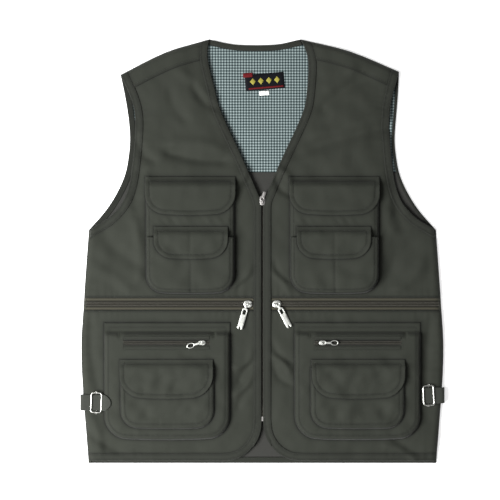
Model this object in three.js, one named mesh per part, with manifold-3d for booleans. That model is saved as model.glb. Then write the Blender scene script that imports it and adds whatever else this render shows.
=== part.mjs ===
// Fishing vest, lying flat on its back with the front zip closed.
// Millimetres. +X is towards the wearer's left, +Y towards the neck, +Z up out of the front.
// The origin is on the surface it lies on, under the middle of the vest.

import * as THREE from 'three';
import { mergeVertices } from 'three/addons/utils/BufferGeometryUtils.js';
import Module from 'manifold-3d';

const wasm = await Module();
wasm.setup();

// ---------------------------------------------------------------- driving dimensions

// The body, measured on one half where it says half.
const bodyLength = 680;
const neckHalf = 73;
const neckDrop = 9.6;
const shoulderHalf = 223.5;
const shoulderDrop = 57;
const shoulderCrown = 7;
const armholeDrop = 306;
const chestHalf = 278.6;
const frontAcross = 204.5;
const backAcross = 212.8;
const waistHalf = 286.8;
const hipHalf = 290.4;
const hemHalf = 279.3;
const hipHeight = 162;
const neckDepth = 262;
const waistDrop = 424.5;
const frontHemLift = 4;
const cornerWidth = 58;
const cornerHeight = 62;

// Cloth layers, from the surface up.
const clearance = 0.3;
const backCloth = 1.6;
const liningCloth = 1.2;
const bodyRoom = 6.4;
const frontCloth = 1.8;
const bandCloth = 2.2;
const wall = 1.5;

// Seams and edgings.
const slit = 2.4;
const bandWidth = 13;
const facingWidth = 13;
const yokeWidth = 27;
const foldWidth = 2.5;
const sideSeamWidth = 3;
const neckBandWidth = 9;
const hemBandWidth = 10;
const yokeLiningLength = 213;

// Zips.
const zipGap = 1.6;
const coilWidth = 2.2;
const coilHeight = 0.6;
const tapeThickness = 1.2;
const frontTapeWidth = 12;
const waistZipHeight = 18;
const waistZipInset = 2;
const pocketZipHeight = 24;
const zipEndRoom = 16;

// Sliders and their pulls.
const plateThickness = 1.2;
const webThickness = 0.8;
const postSize = 1.8;
const postReach = 7;
const eyeRadius = 2.2;
const eyeRim = 1.5;
const pullThickness = 1.6;
const pullPlay = 0.4;

// Pockets: x is measured from the middle of the vest, drops are measured down from the neck
// point, and lifts and falls from the waist zip.
const chestPocket = { inner: 43.8, width: 143, top: 240, length: 168.5, depth: 9, corner: 16 };
const chestPatch = { length: 91, depth: 6.5, inset: 1 };
const chestFlap = { inner: 42.7, width: 145, top: 220.6, length: 62, corner: 12 };
const chestSmallFlap = { inner: 54.5, width: 119, top: 300.5, length: 52, corner: 12 };
const lowerPocket = { inner: 51, width: 202.5, fall: 29.5, length: 188, depth: 11, corner: 27 };
const lowerFlange = 15;
const lowerSlot = { inner: 82, width: 141, fall: 49.5 };
const lowerPatch = { inner: 76.3, width: 150.6, fall: 101, length: 98, depth: 7, corner: 18 };
const lowerFlap = { inner: 78.3, width: 149.3, fall: 88, length: 62.5, corner: 12 };
const flapRoot = 6;
const flapCloth = 1.6;

// Side adjusters.
const strapWidth = 26;
const strapThickness = 1.2;
const strapReach = 37.5;
const strapPoint = 6;
const buckle = { width: 19, height: 34, wire: 2.4, bar: 1.8, from: 26.5, lift: 0.8 };
const anchorLength = 9.5;

// Sewn-in labels.
const labelSize = { width: 63, height: 26, thickness: 0.9, drop: 68, turn: 5 };
const tagSize = { width: 15.5, height: 7, thickness: 0.6, drop: 87 };

// What differs from one side to the other: where the strap sits and how the pulls hang.
const sides = [
  { name: 'left', sign: 1, strapFall: 146, waistPull: -63, pocketPull: 0 },
  { name: 'right', sign: -1, strapFall: 157.5, waistPull: -74, pocketPull: -15 },
];

// ---------------------------------------------------------------- heights and levels

const neckY = bodyLength / 2;
const hemY = -bodyLength / 2;
const shoulderY = neckY - shoulderDrop;
const underarmY = neckY - armholeDrop;
const waistY = neckY - waistDrop;
const frontHemY = hemY + frontHemLift;
const vY = neckY - neckDepth;

const liningZ = backCloth + clearance;
const liningTop = liningZ + liningCloth;
const frontZ = liningTop + bodyRoom + clearance;
const frontTop = frontZ + frontCloth;
const bandTop = frontZ + bandCloth;
const pocketZ = frontTop + clearance;

// ---------------------------------------------------------------- colours

const cloth = material(0x4b4d46, 0.9);
const trim = material(0x43453e, 0.9);
const gingham = material(0x5c7a80, 0.9);
const meshLining = material(0x4c4d48, 0.95);
const tape = material(0x646250, 0.85);
const metal = material(0xb9bbbd, 0.3, 0.9);
const webbing = material(0x3d3f38, 0.85);
const label = material(0x2b2724, 0.8);
const white = material(0xe8e8e4, 0.8);

function material(color, roughness, metalness = 0) {
  return new THREE.MeshStandardMaterial({ color, roughness, metalness });
}

// ---------------------------------------------------------------- solids

// A closed geometry as a solid that can be joined and cut.
function solid(geometry) {
  const bare = geometry.clone();
  bare.deleteAttribute('normal');
  bare.deleteAttribute('uv');
  const merged = mergeVertices(bare, 1e-4);
  const mesh = new wasm.Mesh({
    numProp: 3,
    vertProperties: new Float32Array(merged.attributes.position.array),
    triVerts: new Uint32Array(merged.index.array),
  });
  return new wasm.Manifold(mesh);
}

function geometryOf(manifold) {
  const mesh = manifold.getMesh();
  const geometry = new THREE.BufferGeometry();
  geometry.setAttribute('position', new THREE.BufferAttribute(mesh.vertProperties, 3));
  geometry.setIndex(new THREE.BufferAttribute(mesh.triVerts, 1));
  geometry.computeVertexNormals();
  return geometry;
}

// A flat plate with the given outline, from z0 up to z1, with holes if any.
function plate(outline, z0, z1, holes = []) {
  const shape = new THREE.Shape(outline);
  shape.holes = holes.map((hole) => new THREE.Path(hole));
  const geometry = new THREE.ExtrudeGeometry(shape, { depth: z1 - z0, bevelEnabled: false });
  geometry.translate(0, 0, z0);
  return solid(geometry);
}

function block(x0, x1, y0, y1, z0, z1) {
  const geometry = new THREE.BoxGeometry(x1 - x0, y1 - y0, z1 - z0);
  geometry.translate((x0 + x1) / 2, (y0 + y1) / 2, (z0 + z1) / 2);
  return solid(geometry);
}

function joined(first, ...others) {
  return others.reduce((whole, other) => whole.add(other), first);
}

function cut(first, ...others) {
  return others.reduce((rest, other) => rest.subtract(other), first);
}

// ---------------------------------------------------------------- outlines

function point(x, y) {
  return new THREE.Vector2(x, y);
}

function curve(points, steps) {
  return new THREE.SplineCurve(points).getPoints(steps);
}

function mirrored(path) {
  return path.map((p) => point(-p.x, p.y)).reverse();
}

// Points of an arc of an ellipse, angles in degrees.
function arc(x, y, rx, ry, from, to, steps) {
  return Array.from({ length: steps + 1 }, (_, i) => {
    const angle = THREE.MathUtils.degToRad(from + ((to - from) * i) / steps);
    return point(x + rx * Math.cos(angle), y + ry * Math.sin(angle));
  });
}

// A path with its two ends carried on straight.
function extended(path, by) {
  const ends = [
    [path[0], path[1]],
    [path.at(-1), path.at(-2)],
  ].map(([end, next]) => end.clone().add(end.clone().sub(next).setLength(by)));
  return [ends[0], ...path, ends[1]];
}

// The path moved to the left of its own direction, with its corners mitred.
function offset(path, distance) {
  const steps = path.slice(1).map((p, i) => p.clone().sub(path[i]).normalize());
  return path.map((p, i) => {
    const before = steps[Math.max(i - 1, 0)];
    const after = steps[Math.min(i, steps.length - 1)];
    const along = before.clone().add(after).normalize();
    const reach = distance / along.dot(after);
    return point(p.x - along.y * reach, p.y + along.x * reach);
  });
}

// The ribbon between two offsets of a path.
function ribbon(path, from, to) {
  return [...offset(path, from), ...offset(path, to).reverse()];
}

// A rectangle whose two lower corners are rounded.
function pocketOutline(x0, x1, y0, y1, corner) {
  return [
    ...arc(x0 + corner, y0 + corner, corner, corner, 180, 270, 5),
    ...arc(x1 - corner, y0 + corner, corner, corner, 270, 360, 5),
    point(x1, y1),
    point(x0, y1),
  ];
}

// A rectangle with all corners rounded.
function roundedOutline(x0, x1, y0, y1, corner, steps = 3) {
  return [
    ...arc(x0 + corner, y0 + corner, corner, corner, 180, 270, steps),
    ...arc(x1 - corner, y0 + corner, corner, corner, 270, 360, steps),
    ...arc(x1 - corner, y1 - corner, corner, corner, 0, 90, steps),
    ...arc(x0 + corner, y1 - corner, corner, corner, 90, 180, steps),
  ];
}

// Every path below is one half's, at +X, and runs counter-clockwise with the cloth on its left.

// The neck edge from the neck point down to the foot of the V, as shares of its width and depth.
const neckEdge = curve(
  [
    point(neckHalf, neckY),
    point(neckHalf * 1.1, vY + neckDepth * 0.882),
    point(neckHalf * 1.007, vY + neckDepth * 0.687),
    point(neckHalf * 0.886, vY + neckDepth * 0.546),
    point(neckHalf * 0.431, vY + neckDepth * 0.271),
    point(neckHalf * 0.154, vY + neckDepth * 0.094),
    point(slit / 2, vY),
  ],
  22,
);
const frontCorner = arc(
  slit / 2 + cornerWidth,
  frontHemY + cornerHeight,
  cornerWidth,
  cornerHeight,
  180,
  270,
  8,
);
const hemCorner = point(hemHalf, frontHemY);
const frontEdge = [...neckEdge, ...frontCorner, hemCorner];

const side = curve(
  [
    hemCorner,
    point(hipHalf, hemY + hipHeight),
    point(waistHalf, waistY),
    point(chestHalf, underarmY),
  ],
  14,
);

// An armhole, from the underarm up to the shoulder tip.
function armhole(across, shares) {
  const rise = shoulderY - underarmY;
  const bends = shares.map(([up, out]) =>
    point(across + out * (chestHalf - across), underarmY + up * rise),
  );
  return curve([point(chestHalf, underarmY), ...bends, point(shoulderHalf, shoulderY)], 18);
}
const frontArmhole = armhole(frontAcross, [
  [0.1, 0.48],
  [0.26, 0.147],
  [0.586, 0],
  [0.795, 0.02],
]);
const backArmhole = armhole(backAcross, [
  [0.147, 0.52],
  [0.321, 0.16],
  [0.469, 0.03],
  [0.643, 0],
]);

const shoulder = curve(
  [
    point(shoulderHalf, shoulderY),
    point((shoulderHalf + neckHalf) / 2, (shoulderY + neckY) / 2 + shoulderCrown),
    point(neckHalf, neckY),
  ],
  8,
);
const backNeck = curve(
  [
    point(neckHalf, neckY),
    point(neckHalf / 2, neckY - neckDrop * 0.85),
    point(0, neckY - neckDrop),
  ],
  6,
);

const wholeNeck = [...backNeck, ...mirrored(backNeck).slice(1)];

// Where a path crosses a height.
function xAt(path, y) {
  const i = path.findIndex((p, n) => n > 0 && (path[n - 1].y - y) * (p.y - y) <= 0);
  const [a, b] = [path[i - 1], path[i]];
  return a.x + ((b.x - a.x) * (y - a.y)) / (b.y - a.y);
}

const frontOutline = [
  ...frontEdge,
  ...side.slice(1),
  ...frontArmhole.slice(1),
  ...shoulder.slice(1, -1),
];
const backHalfOutline = [
  point(0, hemY),
  point(hemHalf, hemY),
  ...side,
  ...backArmhole.slice(1),
  ...shoulder.slice(1),
  ...backNeck.slice(1),
];
const backOutline = [...backHalfOutline, ...mirrored(backHalfOutline).slice(1, -1)];

// ---------------------------------------------------------------- the vest

const vest = new THREE.Group();

function addTo(group, name, shape, look) {
  const mesh = new THREE.Mesh(geometryOf(shape), look);
  mesh.name = name;
  group.add(mesh);
  return mesh;
}

// A cutter that follows a path and reaches past every layer.
const tall = 60;
const overrun = 12;
function cutter(path, width) {
  return plate(ribbon(extended(path, overrun), -overrun, width), -tall, tall);
}

function bothSides(path, width) {
  return joined(
    cutter(path, width),
    plate(mirrored(ribbon(extended(path, overrun), -overrun, width)), -tall, tall),
  );
}

// ---------------------------------------------------------------- back

function makeBack() {
  const wide = hipHalf + overrun;
  const lining = cut(
    plate(backOutline, liningZ, liningTop),
    bothSides(side, sideSeamWidth + clearance),
    bothSides(shoulder, foldWidth + clearance),
    cutter(wholeNeck, neckBandWidth + clearance),
  );
  const yokeY = neckY - yokeLiningLength;
  const hemTop = hemY + hemBandWidth;
  addTo(vest, 'back_panel', plate(backOutline, 0, backCloth), cloth);
  const above = block(-wide, wide, yokeY, neckY, 0, tall);
  addTo(vest, 'back_yoke_lining', lining.intersect(above), gingham);
  const between = block(-wide, wide, hemTop + clearance, yokeY - clearance, 0, tall);
  addTo(vest, 'back_mesh_lining', lining.intersect(between), meshLining);
  const below = block(-wide, wide, hemY, hemTop, 0, tall);
  addTo(vest, 'back_hem', lining.intersect(below), trim);
  const neckBand = plate(ribbon(wholeNeck, 0, neckBandWidth), liningZ, liningTop + clearance);
  addTo(vest, 'back_neck_band', cut(neckBand, bothSides(shoulder, foldWidth + clearance)), trim);
}

// A flat label sewn on the lining, level with a height and turned a little.
function makeLabel(name, size, look, turn) {
  const { width, height, thickness, drop } = size;
  const outline = roundedOutline(-width / 2, width / 2, -height / 2, height / 2, 1);
  const mesh = addTo(vest, name, plate(outline, 0, thickness), look);
  mesh.position.set(0, neckY - drop, liningTop + clearance);
  mesh.rotation.z = THREE.MathUtils.degToRad(turn);
}

// ---------------------------------------------------------------- fronts

function makeFront(group, name) {
  const bandCut = cutter(frontEdge, bandWidth + clearance);
  const armCut = cutter(frontArmhole, facingWidth + clearance);
  const seamCut = cutter(side, sideSeamWidth + clearance);
  const yokeRibbon = plate(ribbon(extended(shoulder, overrun), -overrun, yokeWidth), 0, tall);
  const panel = cut(plate(frontOutline, frontZ, frontTop), bandCut, armCut);
  const zipHalf = waistZipHeight / 2 + clearance;
  const wide = hipHalf + overrun;

  const upper = cut(panel, cutter(shoulder, yokeWidth + clearance)).intersect(
    block(0, wide, waistY + zipHalf, neckY, 0, tall),
  );
  addTo(group, `${name}_front_upper`, joined(upper, root(chestFlapPlace())), cloth);
  const lower = panel.intersect(block(0, wide, hemY, waistY - zipHalf, 0, tall));
  addTo(group, `${name}_front_lower`, lower, cloth);

  const fold = plate(ribbon(shoulder, 0, foldWidth), liningZ, frontZ + frontCloth / 2);
  const yoke = joined(panel.intersect(yokeRibbon), cut(fold, bandCut, armCut));
  addTo(group, `${name}_shoulder_yoke`, yoke, cloth);

  const seam = plate(ribbon(side, 0, sideSeamWidth), liningZ, frontZ - clearance);
  addTo(group, `${name}_side_seam`, seam, cloth);

  const whole = plate(frontOutline, frontZ, bandTop);
  const facing = whole.intersect(
    plate(ribbon(extended(frontArmhole, overrun), 0, facingWidth), 0, tall),
  );
  addTo(group, `${name}_armhole_facing`, cut(facing, seamCut), trim);
  const band = whole.intersect(plate(ribbon(extended(frontEdge, overrun), -1, bandWidth), 0, tall));
  addTo(group, `${name}_front_band`, band, trim);
}

// ---------------------------------------------------------------- zips

// One half of a zip along +X: a tape with a ridge of coil along the edge that faces the gap.
// y is how far it reaches from the middle line, and below says which side of it.
function zipHalf(x0, x1, width, z, below) {
  const flip = below ? -1 : 1;
  const inner = (flip * zipGap) / 2;
  const ridge = inner + flip * coilWidth;
  const outer = flip * width;
  const span = (a, b, z0, z1) => block(x0, x1, Math.min(a, b), Math.max(a, b), z0, z1);
  return joined(
    span(inner, outer, z, z + tapeThickness),
    span(inner, ridge, z + tapeThickness / 2, z + tapeThickness + coilHeight),
  );
}

// A slider that runs along +X. Its plates hold the tapes, whose underside is at height 0, and
// topAt is the height of its upper plate. The pull's eye goes round the post at the middle.
function sliderShape(length, width, topAt) {
  const top = topAt + plateThickness;
  const bridge = top + pullThickness + 2 * pullPlay;
  const half = postSize / 2;
  const back = length / 2 + postSize;
  const outline = roundedOutline(-back, length - back, -width / 2, width / 2, width / 4);
  const under = -clearance - plateThickness;
  return joined(
    plate(outline, topAt, top),
    plate(outline, under, -clearance),
    block(-length / 3, length / 4, -webThickness / 2, webThickness / 2, under, top),
    block(-half, half, -half, half, topAt, bridge + plateThickness),
    block(-postReach - half, -postReach + half, -half, half, topAt, bridge + plateThickness),
    block(-postReach - half, half, -half, half, bridge, bridge + plateThickness),
  );
}

// The eye of a pull, round the origin, with a neck towards +X.
function eyeShape(neckLength) {
  const outer = eyeRadius + eyeRim;
  const outline = [
    ...arc(0, 0, outer, outer, 30, 330, 10),
    point(neckLength, -outer / 2),
    point(neckLength, outer / 2),
  ];
  return plate(outline, 0, pullThickness, [arc(0, 0, eyeRadius, eyeRadius, 0, 324, 9)]);
}

// A flat tab with a window near the slider and a notch at its far end.
function tabPull() {
  const [from, to, half] = [7, 42, 4.6];
  const window = roundedOutline(from + 3, from + 10, -2.3, 2.3, 1, 2);
  const notch = block(to - 4, to + 1, -1, 1, -1, pullThickness + 1);
  const tab = plate(roundedOutline(from, to, -half, half, 2), 0, pullThickness, [window]);
  return joined(cut(tab, notch), eyeShape(from + 1));
}

// An oval ring on a short neck.
function ringPull() {
  const [middle, long, wide, rim] = [16.8, 6.75, 4.4, 1.9];
  const hole = arc(middle, 0, long - rim, wide - rim / 1.35, 0, 340, 17);
  const ring = plate(arc(middle, 0, long, wide, 0, 340, 17), 0, pullThickness, [hole]);
  return joined(ring, eyeShape(middle - long + 1));
}

// A short plain tab.
function shortPull() {
  const [from, to, half] = [2.8, 13, 2.6];
  return joined(plate(roundedOutline(from, to, -half, half, 1.2), 0, pullThickness), eyeShape(4));
}

// Slider and pull at (x, y), running along the direction given in degrees. z is the underside of
// the tapes, and hang is the pull's own direction, measured from the slider's.
function makeSlider(group, name, place, body, pull) {
  const slider = addTo(group, `${name}_slider`, sliderShape(body.length, body.width, body.topAt), metal);
  slider.position.set(place.x, place.y, place.z);
  slider.rotation.z = THREE.MathUtils.degToRad(place.runs);
  const mesh = addTo(group, `${name}_pull`, pull, metal);
  mesh.position.set(place.x, place.y, place.z + body.topAt + plateThickness + pullPlay);
  mesh.rotation.z = THREE.MathUtils.degToRad(place.runs + place.hang);
}

const tapeTop = tapeThickness + coilHeight;
const sliderLift = tapeTop + clearance;

function makeFrontZip() {
  const z = frontZ - clearance - tapeThickness - coilHeight;
  const bottom = frontHemY + cornerHeight + 2;
  const boxLength = 7;
  const halves = [
    ['left', true],
    ['right', false],
  ];
  for (const [name, below] of halves) {
    const half = zipHalf(bottom + boxLength + clearance, vY - 2, frontTapeWidth, z, below);
    const mesh = addTo(vest, `front_zip_${name}_half`, half, tape);
    mesh.rotation.z = Math.PI / 2;
  }
  const box = roundedOutline(-4, 4, bottom, bottom + boxLength, 1);
  addTo(vest, 'front_zip_box', plate(box, z - 1, frontZ - clearance), metal);
  const body = { length: 16, width: 9, topAt: bandTop - z + clearance };
  const place = { x: 0, y: vY + 5, z, runs: 90, hang: -18 };
  makeSlider(vest, 'front_zip', place, body, shortPull());
}

function makeWaistZip(group, name, hang) {
  const x0 = slit / 2 + bandWidth + clearance;
  const x1 = xAt(side, waistY - waistZipHeight / 2) - waistZipInset;
  for (const [part, below] of [['upper', false], ['lower', true]]) {
    const half = zipHalf(x0, x1, waistZipHeight / 2, frontZ, below);
    addTo(group, `${name}_waist_zip_${part}`, half, tape).position.y = waistY;
  }
  const body = { length: 13.8, width: 11.9, topAt: sliderLift };
  const place = { x: x0 + 10.4, y: waistY, z: frontZ, runs: 0, hang };
  makeSlider(group, `${name}_waist_zip`, place, body, tabPull());
}

const lowerWallZ = pocketZ + lowerPocket.depth - wall;
const slotY = waistY - lowerSlot.fall - pocketZipHeight / 2;

function makePocketZip(group, name, hang) {
  const x0 = lowerSlot.inner + clearance;
  const x1 = lowerSlot.inner + lowerSlot.width - clearance;
  const reach = pocketZipHeight / 2 - clearance;
  for (const [part, below] of [['upper', false], ['lower', true]]) {
    const half = zipHalf(x0, x1, reach, lowerWallZ, below);
    addTo(group, `${name}_pocket_zip_${part}`, half, tape).position.y = slotY;
  }
  const body = { length: 12, width: 8, topAt: sliderLift };
  const place = { x: lowerSlot.inner + zipEndRoom, y: slotY, z: lowerWallZ, runs: 0, hang };
  makeSlider(group, `${name}_pocket_zip`, place, body, ringPull());
}

// ---------------------------------------------------------------- pockets

// A pocket pouch: front wall, side walls and bottom. It is open at the back, where it is sewn
// down, and at the mouth on top unless it is closed there.
function pouch(x0, x1, y0, y1, z0, depth, corner, closed = false) {
  const outer = plate(pocketOutline(x0, x1, y0, y1, corner), z0, z0 + depth);
  const top = closed ? y1 - wall : y1 + overrun;
  const inner = pocketOutline(x0 + wall, x1 - wall, y0 + wall, top, corner - wall);
  return cut(outer, plate(inner, z0 - overrun, z0 + depth - wall));
}

// A flap is a flat plate under a short root that is sewn down. Its place says where it starts
// (top), the surface its root stands on (from) and the underside of the flap itself (z).
function chestFlapPlace() {
  const z = pocketZ + chestPocket.depth + clearance;
  return { ...chestFlap, top: neckY - chestFlap.top, from: frontTop, z };
}

function chestSmallFlapPlace() {
  const from = pocketZ + chestPocket.depth;
  const z = from + clearance + chestPatch.depth + clearance;
  return { ...chestSmallFlap, top: neckY - chestSmallFlap.top, from, z };
}

function lowerFlapPlace() {
  const from = pocketZ + lowerPocket.depth;
  const z = from + clearance + lowerPatch.depth + clearance;
  return { ...lowerFlap, top: waistY - lowerFlap.fall, from, z };
}

function root(place) {
  const { inner, width, top, from, z } = place;
  return block(inner, inner + width, top - flapRoot, top, from - wall / 2, z + flapCloth);
}

function flap(place) {
  const { inner, width, top, length, corner, z } = place;
  const y1 = top - flapRoot - 2 * clearance;
  return plate(pocketOutline(inner, inner + width, top - length, y1, corner), z, z + flapCloth);
}

function makePockets(group, name) {
  const chestX = chestPocket.inner + chestPocket.width;
  const chestY0 = neckY - chestPocket.top - chestPocket.length;
  const chestTop = pocketZ + chestPocket.depth;
  const chest = pouch(
    chestPocket.inner, chestX, chestY0, neckY - chestPocket.top,
    pocketZ, chestPocket.depth, chestPocket.corner,
  );
  addTo(group, `${name}_chest_pocket`, joined(chest, root(chestSmallFlapPlace())), cloth);
  addTo(group, `${name}_chest_flap`, flap(chestFlapPlace()), cloth);
  const inset = chestPatch.inset;
  const patch = pouch(
    chestPocket.inner + inset, chestX - inset, chestY0 + inset, chestY0 + chestPatch.length,
    chestTop + clearance, chestPatch.depth, chestPocket.corner - inset,
  );
  addTo(group, `${name}_chest_small_pocket`, patch, cloth);
  addTo(group, `${name}_chest_small_flap`, flap(chestSmallFlapPlace()), cloth);

  const lowerX = lowerPocket.inner + lowerPocket.width;
  const lowerY = waistY - lowerPocket.fall;
  const slotX = lowerSlot.inner + lowerSlot.width;
  const slotHalf = pocketZipHeight / 2;
  const lower = joined(
    pouch(
      lowerPocket.inner, lowerX, lowerY - lowerPocket.length, lowerY - lowerFlange,
      pocketZ, lowerPocket.depth, lowerPocket.corner, true,
    ),
    block(
      lowerPocket.inner, lowerX, lowerY - lowerFlange - wall / 2, lowerY,
      pocketZ, pocketZ + wall * 0.7,
    ),
    root(lowerFlapPlace()),
  );
  const slot = block(lowerSlot.inner, slotX, slotY - slotHalf, slotY + slotHalf, lowerWallZ - 1, tall);
  addTo(group, `${name}_lower_pocket`, cut(lower, slot), cloth);
  addTo(group, `${name}_lower_flap`, flap(lowerFlapPlace()), cloth);
  const patchX = lowerPatch.inner + lowerPatch.width;
  const patchY = waistY - lowerPatch.fall;
  const small = pouch(
    lowerPatch.inner, patchX, patchY - lowerPatch.length, patchY,
    pocketZ + lowerPocket.depth + clearance, lowerPatch.depth, lowerPatch.corner,
  );
  addTo(group, `${name}_lower_small_pocket`, small, cloth);
}

// ---------------------------------------------------------------- side adjusters

// The strap comes up the side seam, turns over the edge and runs inwards through the buckle,
// over its middle bar and under its two long bars. A tab on the front holds the middle bar.
function makeAdjuster(group, name, fall) {
  const y = waistY - fall;
  const edge = hipHalf + clearance;
  const outer = edge + strapThickness;
  const barZ = frontTop + clearance;
  const strapZ = barZ + buckle.bar + clearance;
  const strapTop = strapZ + strapThickness;
  const half = strapWidth / 2;
  const tip = outer - strapReach;
  const strap = joined(
    plate(
      [
        point(outer, y - half),
        point(outer, y + half),
        point(tip + strapPoint, y + half),
        point(tip, y),
        point(tip + strapPoint, y - half),
      ],
      strapZ,
      strapTop,
    ),
    block(edge, outer, y - half, y + half, liningZ, strapTop),
  );
  addTo(group, `${name}_side_strap`, strap, webbing);

  const x = outer - buckle.from;
  const { width, height, wire, bar, lift } = buckle;
  const ringZ = strapTop + lift;
  const ring = plate(
    roundedOutline(x - width / 2, x + width / 2, y - height / 2, y + height / 2, 4),
    ringZ,
    ringZ + wire,
    [
      roundedOutline(
        x - width / 2 + wire, x + width / 2 - wire,
        y - height / 2 + wire, y + height / 2 - wire, 2,
      ),
    ],
  );
  const post = (y0, y1) => block(x - bar / 2, x + bar / 2, y0, y1, barZ, ringZ + wire);
  const buckleShape = joined(
    ring,
    block(x - bar / 2, x + bar / 2, y - height / 2, y + height / 2, barZ, barZ + bar),
    post(y - height / 2 - 1, y - height / 2 + wire),
    post(y + height / 2 - wire, y + height / 2 + 1),
  );
  addTo(group, `${name}_buckle`, buckleShape, metal);

  const tabOuter = x - bar / 2 - clearance;
  const tab = block(tabOuter - anchorLength, tabOuter, y - half, y + half, barZ, barZ + wall);
  addTo(group, `${name}_anchor_tab`, tab, webbing);
}

// ---------------------------------------------------------------- assembly

makeBack();
makeLabel('neck_label', labelSize, label, labelSize.turn);
makeLabel('size_tag', tagSize, white, 0);
makeFrontZip();
for (const { name, sign, strapFall, waistPull, pocketPull } of sides) {
  const group = new THREE.Group();
  group.scale.x = sign;
  makeFront(group, name);
  makeWaistZip(group, name, waistPull);
  makePockets(group, name);
  makePocketZip(group, name, pocketPull);
  makeAdjuster(group, name, strapFall);
  vest.add(group);
}

export default vest;
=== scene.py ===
import math

import bpy
import numpy as np
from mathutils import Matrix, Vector
from mathutils.bvhtree import BVHTree
from mathutils.geometry import delaunay_2d_cdt


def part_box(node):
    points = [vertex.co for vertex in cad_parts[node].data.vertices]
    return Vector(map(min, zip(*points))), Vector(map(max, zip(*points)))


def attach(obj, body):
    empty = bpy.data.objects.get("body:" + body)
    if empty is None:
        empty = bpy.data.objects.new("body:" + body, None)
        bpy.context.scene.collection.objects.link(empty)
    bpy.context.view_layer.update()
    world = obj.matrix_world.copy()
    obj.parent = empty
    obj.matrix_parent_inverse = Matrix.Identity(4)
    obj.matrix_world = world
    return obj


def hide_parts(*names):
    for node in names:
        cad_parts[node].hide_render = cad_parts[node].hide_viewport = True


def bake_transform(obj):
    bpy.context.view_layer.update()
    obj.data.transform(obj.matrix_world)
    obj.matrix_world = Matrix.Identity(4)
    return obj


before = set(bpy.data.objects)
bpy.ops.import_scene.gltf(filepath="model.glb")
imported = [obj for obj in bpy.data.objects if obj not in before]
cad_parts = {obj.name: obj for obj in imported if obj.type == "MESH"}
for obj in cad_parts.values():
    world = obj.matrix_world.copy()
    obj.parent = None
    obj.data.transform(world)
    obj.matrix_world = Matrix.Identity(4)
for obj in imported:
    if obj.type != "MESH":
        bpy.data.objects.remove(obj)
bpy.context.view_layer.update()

# ---------------------------------------------------------------- camera
# The camera hangs three metres above the table and looks straight down on the vest.
# A long lens keeps the edges of the vest as upright as its middle.
camera_height = 3.0116
camera_lens = bpy.data.cameras.new("camera")
camera_lens.lens = 135
camera_lens.sensor_width = 36
camera = bpy.data.objects.new("camera", camera_lens)
camera.location = (-0.0198, 0.0019, camera_height)
bpy.context.scene.collection.objects.link(camera)
bpy.context.scene.camera = camera

# ---------------------------------------------------------------- table and lights
# A plain white table in a soft white room. The room gives little light, but its wall looks pale.
# A large lamp low on the left makes that half of the cloth the brighter one, and a weak lamp
# above fills in.
table_half = 4.0
table_level = -0.0004
table_glow = 0.55
room_light_strength = 0.27
room_wall_strength = 0.85
table_mesh = bpy.data.meshes.new("table")
table_corners = [(-1, -1), (1, -1), (1, 1), (-1, 1)]
table_mesh.from_pydata(
    [(x * table_half, y * table_half, table_level) for x, y in table_corners], [], [(0, 1, 2, 3)]
)
table = bpy.data.objects.new("table", table_mesh)
bpy.context.scene.collection.objects.link(table)
table_paint = bpy.data.materials.new("table_paint")
table_paint.use_nodes = True
table_shader = table_paint.node_tree.nodes["Principled BSDF"]
table_shader.inputs["Roughness"].default_value = 0.95
table_shader.inputs["Specular IOR Level"].default_value = 0.1
table_shader.inputs["Emission Color"].default_value = (1, 1, 1, 1)
table_shader.inputs["Emission Strength"].default_value = table_glow
table_grain = table_paint.node_tree.nodes.new("ShaderNodeTexNoise")
table_grain.inputs["Scale"].default_value = 40
table_tint = table_paint.node_tree.nodes.new("ShaderNodeValToRGB")
table_tint.color_ramp.elements[0].color = (0.93, 0.93, 0.93, 1)
table_tint.color_ramp.elements[1].color = (0.96, 0.96, 0.96, 1)
table_paint.node_tree.links.new(table_grain.outputs["Fac"], table_tint.inputs["Fac"])
table_paint.node_tree.links.new(table_tint.outputs["Color"], table_shader.inputs["Base Color"])
table.data.materials.append(table_paint)

room = bpy.data.worlds.new("room")
bpy.context.scene.world = room
room.use_nodes = True
room_tree = room.node_tree
room_light = room_tree.nodes["Background"]
room_light.inputs["Color"].default_value = (1.0, 1.0, 1.0, 1)
room_light.inputs["Strength"].default_value = room_light_strength
room_wall = room_tree.nodes.new("ShaderNodeBackground")
room_wall.inputs["Color"].default_value = (1.0, 1.0, 1.0, 1)
room_wall.inputs["Strength"].default_value = room_wall_strength
room_ray = room_tree.nodes.new("ShaderNodeLightPath")
room_mix = room_tree.nodes.new("ShaderNodeMixShader")
room_tree.links.new(room_ray.outputs["Is Camera Ray"], room_mix.inputs["Fac"])
room_tree.links.new(room_light.outputs["Background"], room_mix.inputs[1])
room_tree.links.new(room_wall.outputs["Background"], room_mix.inputs[2])
room_tree.links.new(room_mix.outputs["Shader"], room_tree.nodes["World Output"].inputs["Surface"])
bpy.context.scene.view_settings.view_transform = "Standard"
bpy.context.scene.view_settings.look = "None"


def soft_lamp(name, place, aim, power, size=1.2):
    """A round lamp that looks at a spot. Its size is in metres and its power in watts."""
    lamp = bpy.data.lights.new(name, "AREA")
    lamp.shape = "DISK"
    lamp.size = size
    lamp.energy = power
    holder = bpy.data.objects.new(name, lamp)
    holder.location = place
    holder.rotation_euler = (Vector(aim) - Vector(place)).to_track_quat("-Z", "Y").to_euler()
    bpy.context.scene.collection.objects.link(holder)


soft_lamp("lamp_left", (-1.15, -0.5, 1.38), (-0.05, -0.02, 0.0), 86)
soft_lamp("lamp_above", (-0.4, -0.3, 2.1), (0.0, -0.1, 0.0), 6)

# ---------------------------------------------------------------- back panel
# The back is one piece of twill from hem to neck. It lies on the table and carries everything.
# Its armholes are bound with a narrow strip of the same cloth, which shows outside the fronts.
MM = 0.001


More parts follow.
